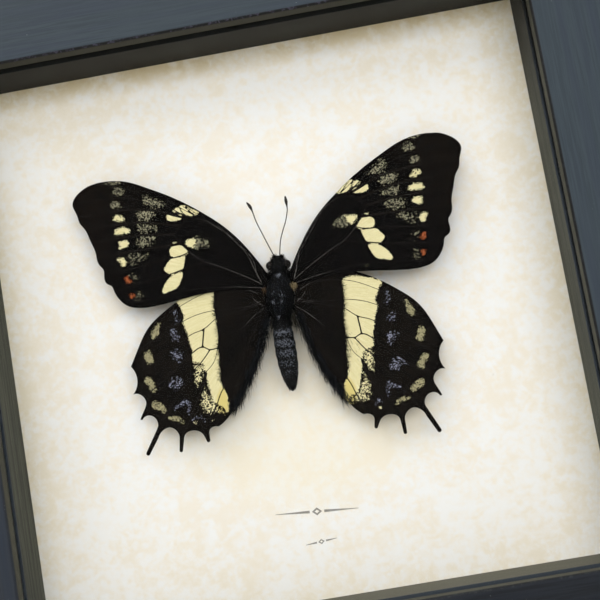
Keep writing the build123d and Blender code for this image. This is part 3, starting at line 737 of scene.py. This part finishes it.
hindwing_markings = (
    ("cream", 0.45, 1.2, ((25.9, 2.6), (25.2, 1.0), (24.6, -0.7), (24.2, -2.1), (24.7, -3.5),
        (24.2, -5.0), (23.7, -7.0), (23.5, -8.4), (23.0, -10.2), (23.2, -11.6), (22.9, -13.2),
        (21.5, -13.7), (20.6, -14.2), (20.4, -15.5), (20.2, -17.2), (19.8, -19.2), (19.4, -21.5),
        (19.0, -23.2), (18.0, -24.2), (16.7, -25.0), (16.0, -26.3), (15.6, -24.7), (15.8, -21.9),
        (16.4, -20.6), (16.9, -19.0), (16.9, -15.4), (16.8, -12.6), (16.9, -10.3), (16.6, -7.0),
        (16.6, -4.4), (16.8, -3.5), (16.9, -1.3), (16.8, 1.9), (16.8, 3.5), (19.8, 4.2))),
    ("cream", 1.0, 0.56, ((23.2, -11.8), (21.5, -13.6), (20.1, -15.0), (20.8, -17.2), (21.8, -19.1),
        (22.8, -19.6), (23.4, -18.2), (23.3, -15.0))),
    ("cream", 1.1, 0.52, ((20.5, -18.5), (19.7, -21.8), (18.3, -23.8), (17.0, -25.0), (16.4, -27.0),
        (18.8, -26.6), (21.0, -26.5), (22.4, -24.5), (22.4, -22.0), (21.4, -20.0))),
    ("yellow", 0.9, 1.0, ((18.4, -22.6), (16.4, -19.8), (15.4, -21.9), (15.2, -24.7), (16.0, -27.2),
        (18.2, -26.6))),
    ("lunule", 0.4, 0.88, ((30.9, -2.7), (30.4, -3.1), (30.8, -4.4), (30.9, -5.4), (31.8, -6.4),
        (32.6, -6.6), (32.7, -5.2), (32.2, -4.2), (31.6, -3.6))),
    ("lunule", 0.4, 0.88, ((33.9, -9.2), (33.4, -9.8), (32.8, -11.8), (32.9, -12.5), (34.0, -12.8),
        (34.5, -12.2), (35.1, -10.6), (34.9, -9.8))),
    ("lunule", 0.4, 0.88, ((35.0, -15.8), (33.9, -16.1), (33.1, -17.5), (32.7, -18.6), (32.9, -19.5),
        (34.1, -19.4), (34.5, -18.1), (35.6, -16.8))),
    ("lunule", 0.4, 0.88, ((33.9, -21.9), (32.6, -22.0), (31.5, -22.9), (30.7, -24.1), (31.2, -25.1),
        (32.2, -24.3), (34.0, -23.3))),
    ("lunule", 0.4, 0.88, ((30.3, -26.1), (29.2, -26.0), (27.7, -26.4), (26.9, -27.3), (26.9, -28.0),
        (28.2, -27.2), (30.2, -26.7))),
    ("blue", 0.9, 0.34, ((27.2, -0.3), (26.0, -0.3), (25.8, -1.7), (25.4, -2.6), (26.5, -3.5),
        (26.8, -2.4))),
    ("blue", 0.9, 0.38, ((28.0, -5.2), (27.1, -4.8), (26.6, -5.9), (25.7, -7.1), (26.0, -7.7),
        (27.0, -8.0), (27.9, -7.1))),
    ("blue", 1.0, 0.4, ((29.4, -10.9), (28.1, -10.3), (26.5, -10.0), (25.4, -11.1), (25.9, -12.5),
        (26.6, -13.4), (27.4, -12.3), (28.4, -11.6))),
    ("blue", 0.9, 0.42, ((30.3, -18.0), (28.3, -16.6), (26.8, -16.8), (25.9, -18.6), (26.7, -19.3),
        (27.9, -19.9), (28.9, -18.9))),
    ("blue", 0.6, 0.5, ((29.4, -24.7), (28.2, -23.4), (26.0, -22.1), (24.9, -22.4), (24.7, -23.8),
        (24.9, -25.1), (25.3, -25.9), (25.7, -25.1), (25.8, -23.5), (27.1, -23.7))),
    ("blue", 0.4, 0.5, ((24.8, -27.2), (23.0, -26.4), (22.5, -26.5), (21.7, -28.0), (22.6, -27.0),
        (23.1, -26.8))),
    ("cream", 0.3, 0.7, ((24.5, -27.8), (23.5, -27.8), (23.8, -28.3))),
    ("cream", 0.25, 0.6, ((19.9, -28.0), (19.4, -27.8), (19.5, -28.3))),
)
hindwing_veins = (
    (0.07, 7, ((5.2, -0.4), (8.7, -1.3), (12.6, -1.5), (16.8, -1.4), (20.3, -1.8), (23.7, -2.8),
        (28.8, -5.1), (35.9, -8.6))),
    (0.09, 6, ((4.9, -0.9), (12.1, -2.4), (16.2, -3.3), (19.7, -5.6), (23.7, -7.0), (30.6, -11.5),
        (37.7, -14.9))),
    (0.17, 0, ((19.7, -5.6), (20.1, -7.7), (20.5, -10.0))),
    (0.13, 0, ((16.4, -10.5), (18.7, -10.8), (20.5, -10.0), (22.9, -11.0), (30.0, -16.5), (37.6, -21.6))),
    (0.07, 12, ((4.6, -2.0), (5.6, -2.8), (7.4, -3.9), (10.9, -6.9), (13.6, -9.2), (16.4, -10.5))),
    (0.12, 0, ((18.7, -10.8), (20.1, -12.5), (21.5, -14.0), (22.7, -15.0), (25.3, -18.4), (30.6, -24.6),
        (33.4, -28.3), (36.0, -33.9))),
    (0.06, 0, ((16.8, -10.7), (17.6, -13.0), (18.6, -14.6), (20.3, -16.1))),
    (0.38, 0, ((20.3, -16.4), (20.8, -18.0), (21.8, -20.2), (25.0, -26.8), (27.2, -30.6), (27.9, -34.0))),
    (0.12, 5, ((4.6, -2.0), (8.0, -8.2), (12.8, -16.0), (16.6, -20.8), (18.4, -24.4), (20.0, -27.6),
        (21.0, -32.2))),
    (0.06, 6, ((5.8, 1.6), (10.0, 3.4), (18.0, 3.2), (25.0, 0.6), (31.6, -2.9))),
    (0.05, 9, ((4.6, -1.6), (5.6, -0.9), (6.6, 0.0), (7.4, 1.1))),
)
# Each wing: its side, its root on the template and its turn there. Then come the move of its dusty, blue and
# rust markings and the move of its cream ones and its veins, and its lists.
wings = {
    "forewing_left": (-1, (2.0, 4.0), 0.0, (0.0, 0.0), (0.0, 0.0), forewing_markings, forewing_veins),
    "forewing_right": (1, (2.0, 4.0), 4.1, (-0.9, 0.2), (-0.9, 0.2), forewing_markings, forewing_veins),
    "hindwing_left": (-1, (3.0, 2.0), 0.0, (0.0, 0.0), (0.0, 0.0), hindwing_markings, hindwing_veins),
    "hindwing_right": (1, (3.0, 2.0), -3.0, (-0.7, 0.2), (-1.5, -0.15), hindwing_markings, hindwing_veins),
}


# ---- wings ------------------------------------------------------------------------------------
rim_step = 0.12
net_step = 0.38
net_scatter = 0.07
room_at_rim = 0.2
room_at_line = 0.13
sheet_thickness = 0.09
sheet_under_front = 0.04
pleat_depth = 0.07
pleat_reach = 1.6
ripple_height = 0.01
vein_radius = 0.03
vein_sink = 0.05
usual_height = 6.6
above_all = 20


def front_of(name):
    """The rim of a CAD wing as a ring of (u, v) places, and a function for its front face's height."""
    cut = bmesh.new()
    cut.from_mesh(nodes[name].data)
    bmesh.ops.remove_doubles(cut, verts=cut.verts, dist=2e-6)
    cut.normal_update()
    facing = {face for face in cut.faces if face.normal.dot(off_paper) > 0.6}
    neighbours = {}
    for edge in cut.edges:
        if sum(face in facing for face in edge.link_faces) == 1:
            a, b = edge.verts
            neighbours.setdefault(a, []).append(b)
            neighbours.setdefault(b, []).append(a)
    start = next(iter(neighbours))
    ring = [start, neighbours[start][0]]
    while True:
        ahead = [v for v in neighbours[ring[-1]] if v is not ring[-2]]
        if not ahead or ahead[0] is start:
            break
        ring.append(ahead[0])
    places = []
    for vert in ring:
        offset = vert.co / MM - specimen_middle
        places.append((offset.dot(to_right), offset.dot(to_head)))
    tree = BVHTree.FromBMesh(cut)
    cut.free()

    def height(u, v):
        hit = tree.ray_cast(at(u, v, above_all), -off_paper)[0]
        if hit is None:
            hit = tree.find_nearest(at(u, v, usual_height))[0]
        return (hit / MM - specimen_middle).dot(off_paper)

    return np.array(places), height


def thin_ring(ring):
    """The ring without points that crowd together."""
    kept = [ring[0]]
    for place in ring[1:]:
        if np.hypot(*(place - kept[-1])) > rim_step:
            kept.append(place)
    return np.array(kept)


def net_over(ring, lines, random):
    """A net of small triangles inside a rim, with the lines among its edges."""
    low, high = ring.min(0), ring.max(0)
    us, vs = np.meshgrid(np.arange(low[0], high[0], net_step), np.arange(low[1], high[1], net_step * 0.87))
    us[::2] += net_step / 2
    inner = np.stack([us.ravel(), vs.ravel()], 1)
    inner += random.uniform(-net_scatter, net_scatter, inner.shape)
    inner = inner[depth_in_shape(inner, ring) > room_at_rim]
    flat = [Vector(p) for p in ring]
    edges = [(i, (i + 1) % len(ring)) for i in range(len(ring))]
    for line in lines:
        kept = depth_in_shape(line, ring) > 0.15
        inner = inner[distance_to_line(inner, line) > room_at_line]
        for i in range(len(line)):
            flat.append(Vector(line[i]) if kept[i] else Vector(ring[0]))
            if i and kept[i] and kept[i - 1]:
                edges.append((len(flat) - 2, len(flat) - 1))
    flat += [Vector(p) for p in inner]
    points, _, triangles, _, _, _ = delaunay_2d_cdt(flat, edges, [list(range(len(ring)))], 1, 1e-4)
    return np.array([tuple(p) for p in points]), triangles


def sheet_faces(places, triangles):
    """The front, the back and the rim of a sheet whose back points follow its front ones."""
    count = len(places)
    faces = []
    for a, b, c in triangles:
        (ax, ay), (bx, by), (cx, cy) = places[a], places[b], places[c]
        if (bx - ax) * (cy - ay) - (by - ay) * (cx - ax) < 0:
            b, c = c, b
        faces.append((a, b, c))
        faces.append((a + count, c + count, b + count))
    edges = dict.fromkeys(edge for a, b, c in faces[::2] for edge in ((a, b), (b, c), (c, a)))
    for a, b in edges:
        if (b, a) not in edges:
            faces.append((b, a, a + count, b + count))
    return faces


def marking_cover(template, outlines):
    """How thickly each kind of marking covers each place, below 0 where there is none."""
    cover = {}
    for label in ("cream", "dust", "blue", "rust", "lunule", "yellow"):
        cover[label] = np.full(len(template), -0.6)
    for label, softness, thickness, outline in outlines:
        depth = depth_in_shape(template, outline) / softness
        at_outline = 0.5 if softness < 0.5 else 0.3
        share = np.minimum(thickness * (at_outline + (1 - at_outline) * depth), thickness)
        cover[label] = np.maximum(cover[label], share)
    return cover


def make_veins(name, vein_lines, ring, height, finish):
    """Thin raised tubes along the veins, cut off at the wing's rim."""
    sides = 6
    side, root, turn = wings[name][:3]
    points = []
    faces = []
    past_pale = []
    for _, pale_reach, line in vein_lines:
        own = turned_out(line, side, root, turn)
        own = own[depth_in_shape(own, ring) > 0.12]
        if len(own) < 3:
            continue
        middle = np.array([(u, v, height(u, v) - vein_sink) for u, v in own])
        away = np.hypot(*(turned_back(own, side, root, turn) - np.array(root)).T)
        radii = vein_radius * (1 + 0.5 * np.clip(1 - away / 20, 0, 1))
        radii[0] *= 0.5
        radii[-1] *= 0.4
        part_points, part_faces = tube_parts(middle, radii, sides)
        faces += numbered_from(len(points), part_faces)
        points += part_points
        past_pale += list(np.repeat(away - pale_reach, sides))
    make_mesh(f"{name}_veins", points, faces, finish, "wing_membrane", past_pale=past_pale)


def make_wing(name, scales, vein_finish, seed):
    """A thin closed wing sheet in place of the CAD wing, pleated between raised veins."""
    side, root, turn, shift, band_shift, markings, veins = wings[name]
    ring, height = front_of(name)
    ring = thin_ring(ring)
    vein_lines = [(half, pale, smooth_line(line, 6) + np.array(band_shift)) for half, pale, line in veins]
    outlines = []
    for label, softness, thickness, outline in markings:
        moved = band_shift if label in ("cream", "yellow") else shift
        outlines.append((label, softness, thickness, smooth_line(outline, 4, closed=True) + np.array(moved)))
    drawn = [line for _, _, line in vein_lines]
    drawn += [np.vstack([outline, outline[:1]]) for _, softness, _, outline in outlines if softness < 0.7]
    drawn = [turned_out(line, side, root, turn) for line in drawn]
    places, triangles = net_over(ring, drawn, np.random.default_rng(seed))
    template = turned_back(places, side, root, turn)

    vein_away = vein_gap = np.full(len(places), 9.0)
    for half, _, line in vein_lines:
        away = distance_to_line(template, line)
        vein_away = np.minimum(vein_away, away)
        vein_gap = np.minimum(vein_gap, away - half)
    from_root = template - np.array(root)
    reach = np.hypot(from_root[:, 0], from_root[:, 1])
    turn_from_root = np.arctan2(from_root[:, 1], from_root[:, 0])
    rows = np.stack([turn_from_root * 18, reach, np.full(len(places), side * 7.0)], 1)
    front = marking_cover(template, outlines)
    front.update(vein_gap=vein_gap, from_root=reach, scale_rows=rows)
    numbers = {label: np.concatenate([each, each]) for label, each in front.items()}

    from_rim = np.clip(depth_in_shape(places, ring), 0, 1)
    pleat = pleat_depth * np.clip(vein_away / pleat_reach, 0, 1) ** 1.3 * from_rim
    ripple = ripple_height * np.sin(turn_from_root * 60) * np.clip(reach / 20, 0, 1)
    tops = np.array([height(u, v) for u, v in places]) - sheet_under_front - pleat - ripple
    sheet = np.vstack([np.column_stack([places, tops]), np.column_stack([places, tops - sheet_thickness])])
    faces = sheet_faces(places, triangles)
    wing = make_mesh(f"{name}_sheet", sheet, faces, scales, "wing_membrane", **numbers)
    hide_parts(name)
    make_veins(name, vein_lines, ring, height, vein_finish)
    return height


forewing_scales = wing_scales("forewing_scales", srgb(4, 4, 4), srgb(8, 6, 6), srgb(20, 15, 11))
hindwing_scales = wing_scales("hindwing_scales", srgb(8, 7, 6), srgb(24, 20, 17))
vein_horn = wing_vein("wing_vein")
wing_height = {}
for number, wing_name in enumerate(wings):
    scales = forewing_scales if wing_name.startswith("fore") else hindwing_scales
    wing_height[wing_name] = make_wing(wing_name, scales, vein_horn, 11 + number)


# ---- hair -------------------------------------------------------------------------------------
# How far along a strand its four rings are, and their shares of its width.
strand_stops = (0.0, 0.38, 0.72, 1.0)
strand_widths = (1.0, 0.85, 0.55, 0.12)


def hair(name, roots, directions, lengths, width, bend, finish, seed):
    """Many tapered three-sided strands that bend toward a vector, one for all or one for each."""
    random = np.random.default_rng(seed)
    count = len(roots)
    directions = directions / np.linalg.norm(directions, axis=1)[:, None]
    bend = np.array(bend)
    guide = random.normal(size=(count, 3))
    across = np.cross(directions, guide)
    across /= np.linalg.norm(across, axis=1)[:, None]
    other = np.cross(directions, across)
    rings = []
    for t, share in zip(strand_stops, strand_widths):
        middle = roots + directions * (lengths * t)[:, None] + bend * (lengths * t * t)[:, None]
        for k in range(3):
            turn = 2 * pi * k / 3
            rings.append(middle + (across * cos(turn) + other * sin(turn)) * width * share)
    points = np.stack(rings, 1).reshape(-1, 3)
    strand_faces = ring_faces(len(strand_stops), 3)
    faces = [face for i in range(count) for face in numbered_from(i * len(rings), strand_faces)]
    strand = np.repeat(random.uniform(0, 1, count), len(rings))
    along = np.tile(np.repeat(strand_stops, 3), count)
    make_mesh(name, points, faces, finish, "furry_cuticle", strand=strand, along=along)


# ---- body -------------------------------------------------------------------------------------
body_height = 5.8
waist = -3.8
segment_length = 2.5
# Each line: places along the axis and the radius there.
thorax_line = (
    (-4.6, 1.9), (-3.2, 2.8), (-1.4, 3.25), (0.8, 3.4), (2.6, 3.2), (4.2, 2.6), (5.6, 1.9), (6.2, 1.3),
)
head_line = ((5.5, 1.2), (6.4, 1.7), (7.6, 2.05), (8.7, 1.95), (9.7, 1.4), (10.3, 0.7))
abdomen_line = (
    (-3.8, 1.5), (-5.4, 1.95), (-7.4, 2.3), (-10.0, 2.5), (-13.5, 2.55), (-17.0, 2.3), (-19.8, 1.75),
    (-21.6, 1.05), (-22.5, 0.5), (-22.95, 0.1),
)


def straight(v):
    """The head's axis lies on the specimen's own."""
    return 0.0 * v


def dried_bend(v):
    """How far the dried body's axis stands to the right of the specimen's."""
    places = (-23.0, -18.5, -14.0, -8.0, -4.0, 1.0, 6.0)
    return np.interp(v, places, (0.3, 0.0, -0.3, -0.65, -0.55, -0.45, 0.0))


def lathe_parts(line, rings, sides, shape, axis):
    """A closed round body along an axis, its radius changed by shape(v, turn)."""
    profile = smooth_line(line, 12)
    run = run_along(profile)
    spots = np.linspace(0, run[-1], rings)
    vs = np.interp(spots, run, profile[:, 0])
    rs = np.interp(spots, run, profile[:, 1])
    points = []
    for v, r in zip(vs, rs):
        for k in range(sides):
            turn = 2 * pi * k / sides
            radius = r * shape(v, turn)
            points.append((axis(v) + radius * sin(turn), v, body_height + radius * cos(turn)))
    faces = ring_faces(rings, sides)
    if vs[0] < vs[-1]:
        faces = [tuple(reversed(face)) for face in faces]
    return np.array(points), faces


def plain(v, turn):
    """Thorax and head: faintly uneven."""
    return 1 + 0.03 * sin(3 * v + 2 * turn)


def segment_turn(v):
    """The abdomen's segments as full turns from the waist on: pi past a middle is a joint."""
    return 2 * pi * (v - waist) / segment_length


def banded(v, turn):
    """Abdomen segments: each one swells and dips at its joint."""
    return 1 + 0.035 * cos(segment_turn(v)) - 0.03 * max(0, cos(segment_turn(v) + pi)) ** 6


skin = body_skin("body_skin")
places, faces = lathe_parts(thorax_line, 26, 32, plain, dried_bend)
thorax = make_mesh("thorax_skin", places, faces, skin, "furry_cuticle")
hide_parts("thorax")
places, faces = lathe_parts(head_line, 18, 28, plain, straight)
head = make_mesh("head_skin", places, faces, skin, "furry_cuticle")
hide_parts("head")
places, faces = lathe_parts(abdomen_line, 90, 36, banded, dried_bend)
v = places[:, 1]
turns = np.arctan2(places[:, 0] - dried_bend(v), places[:, 2] - body_height)
groove = np.clip(np.cos(segment_turn(v) + pi), 0, 1) ** 5
over_middle = np.clip(np.cos(turns * 0.9), 0, 1)
before_tip = np.clip((v + 21.0) / 8.0, 0, 1)
past_waist = np.clip((-7.2 - v) / 0.6, 0, 1)
bloom = (0.02 + 0.42 * over_middle) * before_tip * past_waist * (0.8 + 0.2 * np.cos(segment_turn(v)))
abdomen = make_mesh("abdomen_segments", places, faces, abdomen_scales("abdomen_scales"), "furry_cuticle",
                    bloom=bloom, groove=groove)
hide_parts("abdomen")

black_hair = fine_hair("black_hair", srgb(3, 3, 3), srgb(11, 11, 12), 0.5, 0.04)
# Lighter blue-black hair, strewn among the black on the thorax and the hindwings' inner fringes as painted
# sheen.
blue_sheen_hair = fine_hair("blue_black_sheen_hair", srgb(12, 15, 20), srgb(38, 44, 56), 0.4)
tan_hair = fine_hair("tan_hair", srgb(84, 72, 48), srgb(176, 158, 122), 0.6)
# Pale grey hair for the painted glints on the thorax.
painted_glint_hair = fine_hair("painted_glint_hair", srgb(70, 75, 86), srgb(168, 174, 188), 0.4)
brown_hair = fine_hair("brown_hair", srgb(20, 17, 12), srgb(52, 46, 34), 0.6)
rusty_hair = fine_hair("rusty_hair", srgb(44, 33, 22), srgb(104, 82, 58), 0.6)


# Hair starts a little under the skin, at this share of the body's radius.
root_share = 0.96


def coat(name, line, axis, ends, half_turn, count, seed, lean, scatter, lengths, width, droop, finish):
    """Hair over the front of a round body between two ends; lean is how far it aims out and ahead."""
    random = np.random.default_rng(seed)
    line = np.array(line)
    order = line[:, 0].argsort()
    v = random.uniform(*ends, count)
    r = np.interp(v, line[order, 0], line[order, 1])
    turn = random.uniform(-half_turn, half_turn, count)
    out = np.stack([np.sin(turn), np.zeros(count), np.cos(turn)], 1)
    roots = out * (r * root_share)[:, None] + np.stack([axis(v), v, np.full(count, body_height)], 1)
    ways = out * lean[0] + np.array([0, lean[1], 0]) + random.normal(0, scatter, out.shape)
    hair(name, roots, ways, random.uniform(*lengths, count), width, -out * droop, finish, seed + 1)


coat("thorax_fur", thorax_line, dried_bend, (-4.6, 6.2), 2.2, 3400, 21,
     (0.55, -1.0), 0.3, (0.5, 1.5), 0.035, 0.12, black_hair)
coat("thorax_sheen", thorax_line, dried_bend, (-3.5, 5.5), 0.5, 260, 23,
     (0.4, -1.0), 0.25, (0.6, 1.3), 0.04, 0.1, blue_sheen_hair)
coat("head_fur", head_line, straight, (5.5, 10.3), 2.2, 1100, 25,
     (0.9, 0.25), 0.35, (0.35, 0.9), 0.03, 0.05, black_hair)
coat("abdomen_fur", abdomen_line, dried_bend, (-22.4, -7.4), 2.4, 2600, 27,
     (0.28, -1.0), 0.14, (0.3, 0.7), 0.026, 0.1, black_hair)
coat("waist_fur", abdomen_line, dried_bend, (-6.4, -3.8), 2.4, 1700, 29,
     (0.5, -1.0), 0.26, (0.8, 1.7), 0.035, 0.12, black_hair)


def tuft(name, middle, spread, aim, count, length, finish, seed, width=0.035):
    """A loose bunch of hair around a middle."""
    random = np.random.default_rng(seed)
    roots = np.array(middle) + random.normal(0, 1, (count, 3)) * np.array(spread)
    ways = np.array(aim) + random.normal(0, 0.28, (count, 3))
    lengths = random.uniform(0.5, 1.0, count) * length
    hair(name, roots, ways, lengths, width, (0, -0.15, -0.12), finish, seed + 1)


spread, aim = (0.4, 0.35, 0.2), (0.1, -1.0, 0.25)
tuft("wing_base_tuft_right", (3.2, 2.7, 7.6), spread, aim, 42, 1.3, tan_hair, 41, 0.05)
spread, aim = (0.25, 0.35, 0.2), (-0.1, -1.0, 0.25)
tuft("wing_base_tuft_left", (-4.0, 2.6, 7.2), spread, aim, 26, 1.1, rusty_hair, 43, 0.045)
# Painted glints on the thorax: small tufts of pale grey hair where its gloss catches the light.
painted_glint_tufts = (
    (40, (-0.1, 5.3, 8.9)), (14, (-1.6, 1.1, 8.9)), (34, (0.1, 0.6, 9.1)),
    (26, (-1.8, -1.1, 8.8)), (26, (0.0, -1.2, 9.0)), (16, (-1.1, -4.9, 8.3)),
)
for number, (count, middle) in enumerate(painted_glint_tufts):
    name = f"grey_tuft_{number}"
    tuft(name, middle, (0.28, 0.28, 0.1), (0.0, -1.0, 0.3), count, 0.55, painted_glint_hair, 81 + 2 * number)
for label, side, seed in (("left", -1, 45), ("right", 1, 47)):
    spread, aim = (0.55, 0.6, 0.35), (side * 0.7, 0.1, 0.3)
    tuft(f"collar_{label}", (side * 1.9, 5.6, 6.6), spread, aim, 420, 1.3, black_hair, seed)
# Brown hair beside the waist, dark enough to stand in for the shade in the gap by the hindwings as well:
# partly real hair, partly painted shade.
for label, u, aim, seed in (("left", -2.7, (-0.25, -1.0, 0.0), 53), ("right", 2.6, (0.25, -1.0, 0.0), 55)):
    tuft(f"waist_side_{label}", (u, -5.0, 5.4), (0.35, 0.9, 0.4), aim, 190, 2.2, brown_hair, seed, 0.03)
for label, middle, aim, seed in (
    ("left", (-0.6, 9.8, 6.6), (-0.3, 1.0, 0.3), 49),
    ("right", (0.9, 9.6, 6.6), (0.4, 1.0, 0.3), 51),
):
    tuft(f"palp_{label}", middle, (0.22, 0.12, 0.25), aim, 110, 1.3, black_hair, seed, 0.03)


def fringe(kind, label, line, count, aim, length, finish, seed, scatter, width=0.04, lift=0.05, move=(0, 0)):
    """Hair scattered along a line on the hindwings' template, lying over the wing and its edge."""
    wing = f"hindwing_{label}"
    side, root, turn = wings[wing][:3]
    random = np.random.default_rng(seed)
    path = smooth_line(line, 10) + np.array(move)
    run = run_along(path)
    spots = random.uniform(0, run[-1], count)
    u = np.interp(spots, run, path[:, 0]) + random.normal(0, scatter, count)
    v = np.interp(spots, run, path[:, 1]) + random.normal(0, scatter, count)
    own = turned_out(np.stack([u, v], 1), side, root, turn)
    heights = np.array([wing_height[wing](a, b) for a, b in own]) + lift
    roots = np.column_stack([own, heights])
    clump = np.sin(spots * 2.1 + seed) * 0.22
    ways = np.stack([side * (aim[0] + clump), aim[1] + clump * 0.3, np.full(count, -0.12)], 1)
    ways += random.normal(0, 0.16, ways.shape)
    lengths = random.uniform(0.45, 1.0, count) * length
    hair(f"{kind}_{label}", roots, ways, lengths, width, (0, -0.1, -0.1), finish, seed + 1)


inner_margin = ((4.0, -4.2), (5.2, -8.2), (7.0, -12.8), (9.8, -18.4), (13.0, -23.4), (14.4, -25.2))
near_root = ((4.2, -1.5), (8.0, -4.5), (12.0, -9.0), (14.0, -14.0))
band_edge = (
    (16.2, 2.4), (16.5, -1.3), (16.2, -4.1), (16.0, -7.0), (16.4, -10.3), (16.4, -15.4), (16.5, -19.0),
)
for label, seed in (("left", 61), ("right", 71)):
    band_shift = wings[f"hindwing_{label}"][4]
    fringe("inner_fringe", label, inner_margin, 1500, (0.28, -1.0), 2.8, black_hair, seed, 0.5)
    fringe("inner_fringe_sheen", label, inner_margin, 300, (0.32, -1.0), 2.6, blue_sheen_hair, seed + 4, 0.55)
    fringe("root_fur", label, near_root, 900, (0.35, -1.0), 2.6, black_hair, seed + 8, 1.7, 0.03, 0.02)
    fringe("band_hair", label, band_edge, 300, (1.0, 0.45), 1.6, black_hair, seed + 12, 0.3, 0.028, 0.03,
           band_shift)

# ---- feelers ----------------------------------------------------------------------------------
feelers = {
    "antenna_left": ((-0.5, 9.5, 6.6), (-2.17, 13.67, 6.65), (-3.2, 16.3, 6.65), (-4.3, 19.2, 6.65),
                     (-4.9, 21.5, 6.6), (-5.4, 23.0, 6.6), (-6.2, 24.3, 6.6)),
    "antenna_right": ((0.5, 9.5, 6.6), (1.1, 13.6, 6.65), (2.0, 16.3, 6.65), (2.86, 18.4, 6.65),
                      (3.46, 20.6, 6.6), (3.61, 22.0, 6.6), (3.4, 24.8, 6.6)),
}
ring_spacing = 0.55
feeler_sides = 10
feeler_horn = horn("feeler_horn", ringed=True)
for name, route in feelers.items():
    line = smooth_line(route, 24)
    run = run_along(line)
    left = run[-1] - run
    swell = np.cos(run * 2 * pi / ring_spacing)
    club = 0.26 * np.exp(-((left - 1.3) / 1.0) ** 2)
    radii = (0.125 + club) * (1 + 0.07 * swell)
    radii[-1] = 0.06
    radii[-2] = min(radii[-2], 0.14)
    places, faces = tube_parts(line, radii, feeler_sides)
    ring = np.repeat(np.clip(-swell, 0, 1) * np.clip((left - 2.6) / 0.6, 0, 1), feeler_sides)
    feeler = make_mesh(f"{name}_ringed", places, faces, feeler_horn, "furry_cuticle", ring=ring)
    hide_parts(name)

# ---- camera -----------------------------------------------------------------------------------
# Place, aim and lens are fitted to the lip, the glass edge and the paper edges as seen from the front.
camera_data = bpy.data.cameras.new("camera")
camera_data.lens = 66.36
camera_data.sensor_width = 36
camera_data.clip_start = 0.01
camera_data.clip_end = 20
camera = put("camera", camera_data)
camera_place = Vector((15.4, -269.5, 61.6)) * MM
look = Vector((-0.0406, 0.9929, 0.1114)).normalized()
upward = Vector((0.174, -0.1028, 0.9794))
upward = (upward - look * upward.dot(look)).normalized()
sideways = look.cross(upward)
turn = Matrix((sideways, upward, -look)).transposed().to_4x4()
camera.matrix_world = Matrix.Translation(camera_place) @ turn
bpy.context.scene.camera = camera


# ---- floor, light and background --------------------------------------------------------------
def lamp(name, place, size, power, colour=(1, 1, 1), mirrored=True):
    """A soft lamp aimed at the case; one that isn't mirrored stands where the glass would throw it back."""
    data = bpy.data.lights.new(name, "AREA")
    data.shape = "RECTANGLE"
    data.size, data.size_y = size
    data.energy = power
    data.color = colour
    source = put(name, data)
    source.location = place
    source.rotation_euler = (case_middle - Vector(place)).to_track_quat("-Z", "Y").to_euler()
    source.visible_glossy = mirrored


case_middle = Vector((0, 0, 0.09))
lamp("key", (-0.55, -0.95, 1.17), (1.2, 0.8), 8.0, (1.0, 0.985, 0.97))
lamp("front", (0.25, -1.5, 0.40), (1.6, 0.7), 13.0, (1.0, 0.99, 0.985), mirrored=False)
lamp("back_fill", (0.3, 1.3, 0.9), (1.0, 1.0), 14)

studio_floor = Finish("studio_floor")
tone = studio_floor.noise(0.004, 2)
pale = studio_floor.blend(tone, srgb(214, 213, 210), srgb(220, 219, 216))
floor_mesh = bpy.data.meshes.new("studio_floor")
half_floor = 1.5
corners = [(half_floor * i, half_floor * j, 0) for i, j in ((-1, -1), (1, -1), (1, 1), (-1, 1))]
floor_mesh.from_pydata(corners, [], [(0, 1, 2, 3)])
floor_mesh.materials.append(studio_floor.made_of(pale, 0.9))
floor = put("studio_floor", floor_mesh)

# The world lights softly, and looks pale to the camera and in what the glass throws back or lets through.
studio = Finish("studio", bpy.data.worlds.new("studio"))
bpy.context.scene.world = studio.holder
kinds = ("Camera", "Glossy", "Transmission")
rays = [studio.node("ShaderNodeLightPath", output=f"Is {kind} Ray") for kind in kinds]
ambient = studio.node("ShaderNodeBackground", None, {"Color": (0.50, 0.487, 0.44, 1)})
seen = studio.node("ShaderNodeBackground", None, {"Color": (0.72, 0.72, 0.71, 1)})
share = rays[0].or_more(rays[1]).or_more(rays[2])
studio.done(studio.node("ShaderNodeMixShader", None, [share, ambient, seen]), "ShaderNodeOutputWorld")

bpy.context.scene.view_settings.view_transform = "Standard"
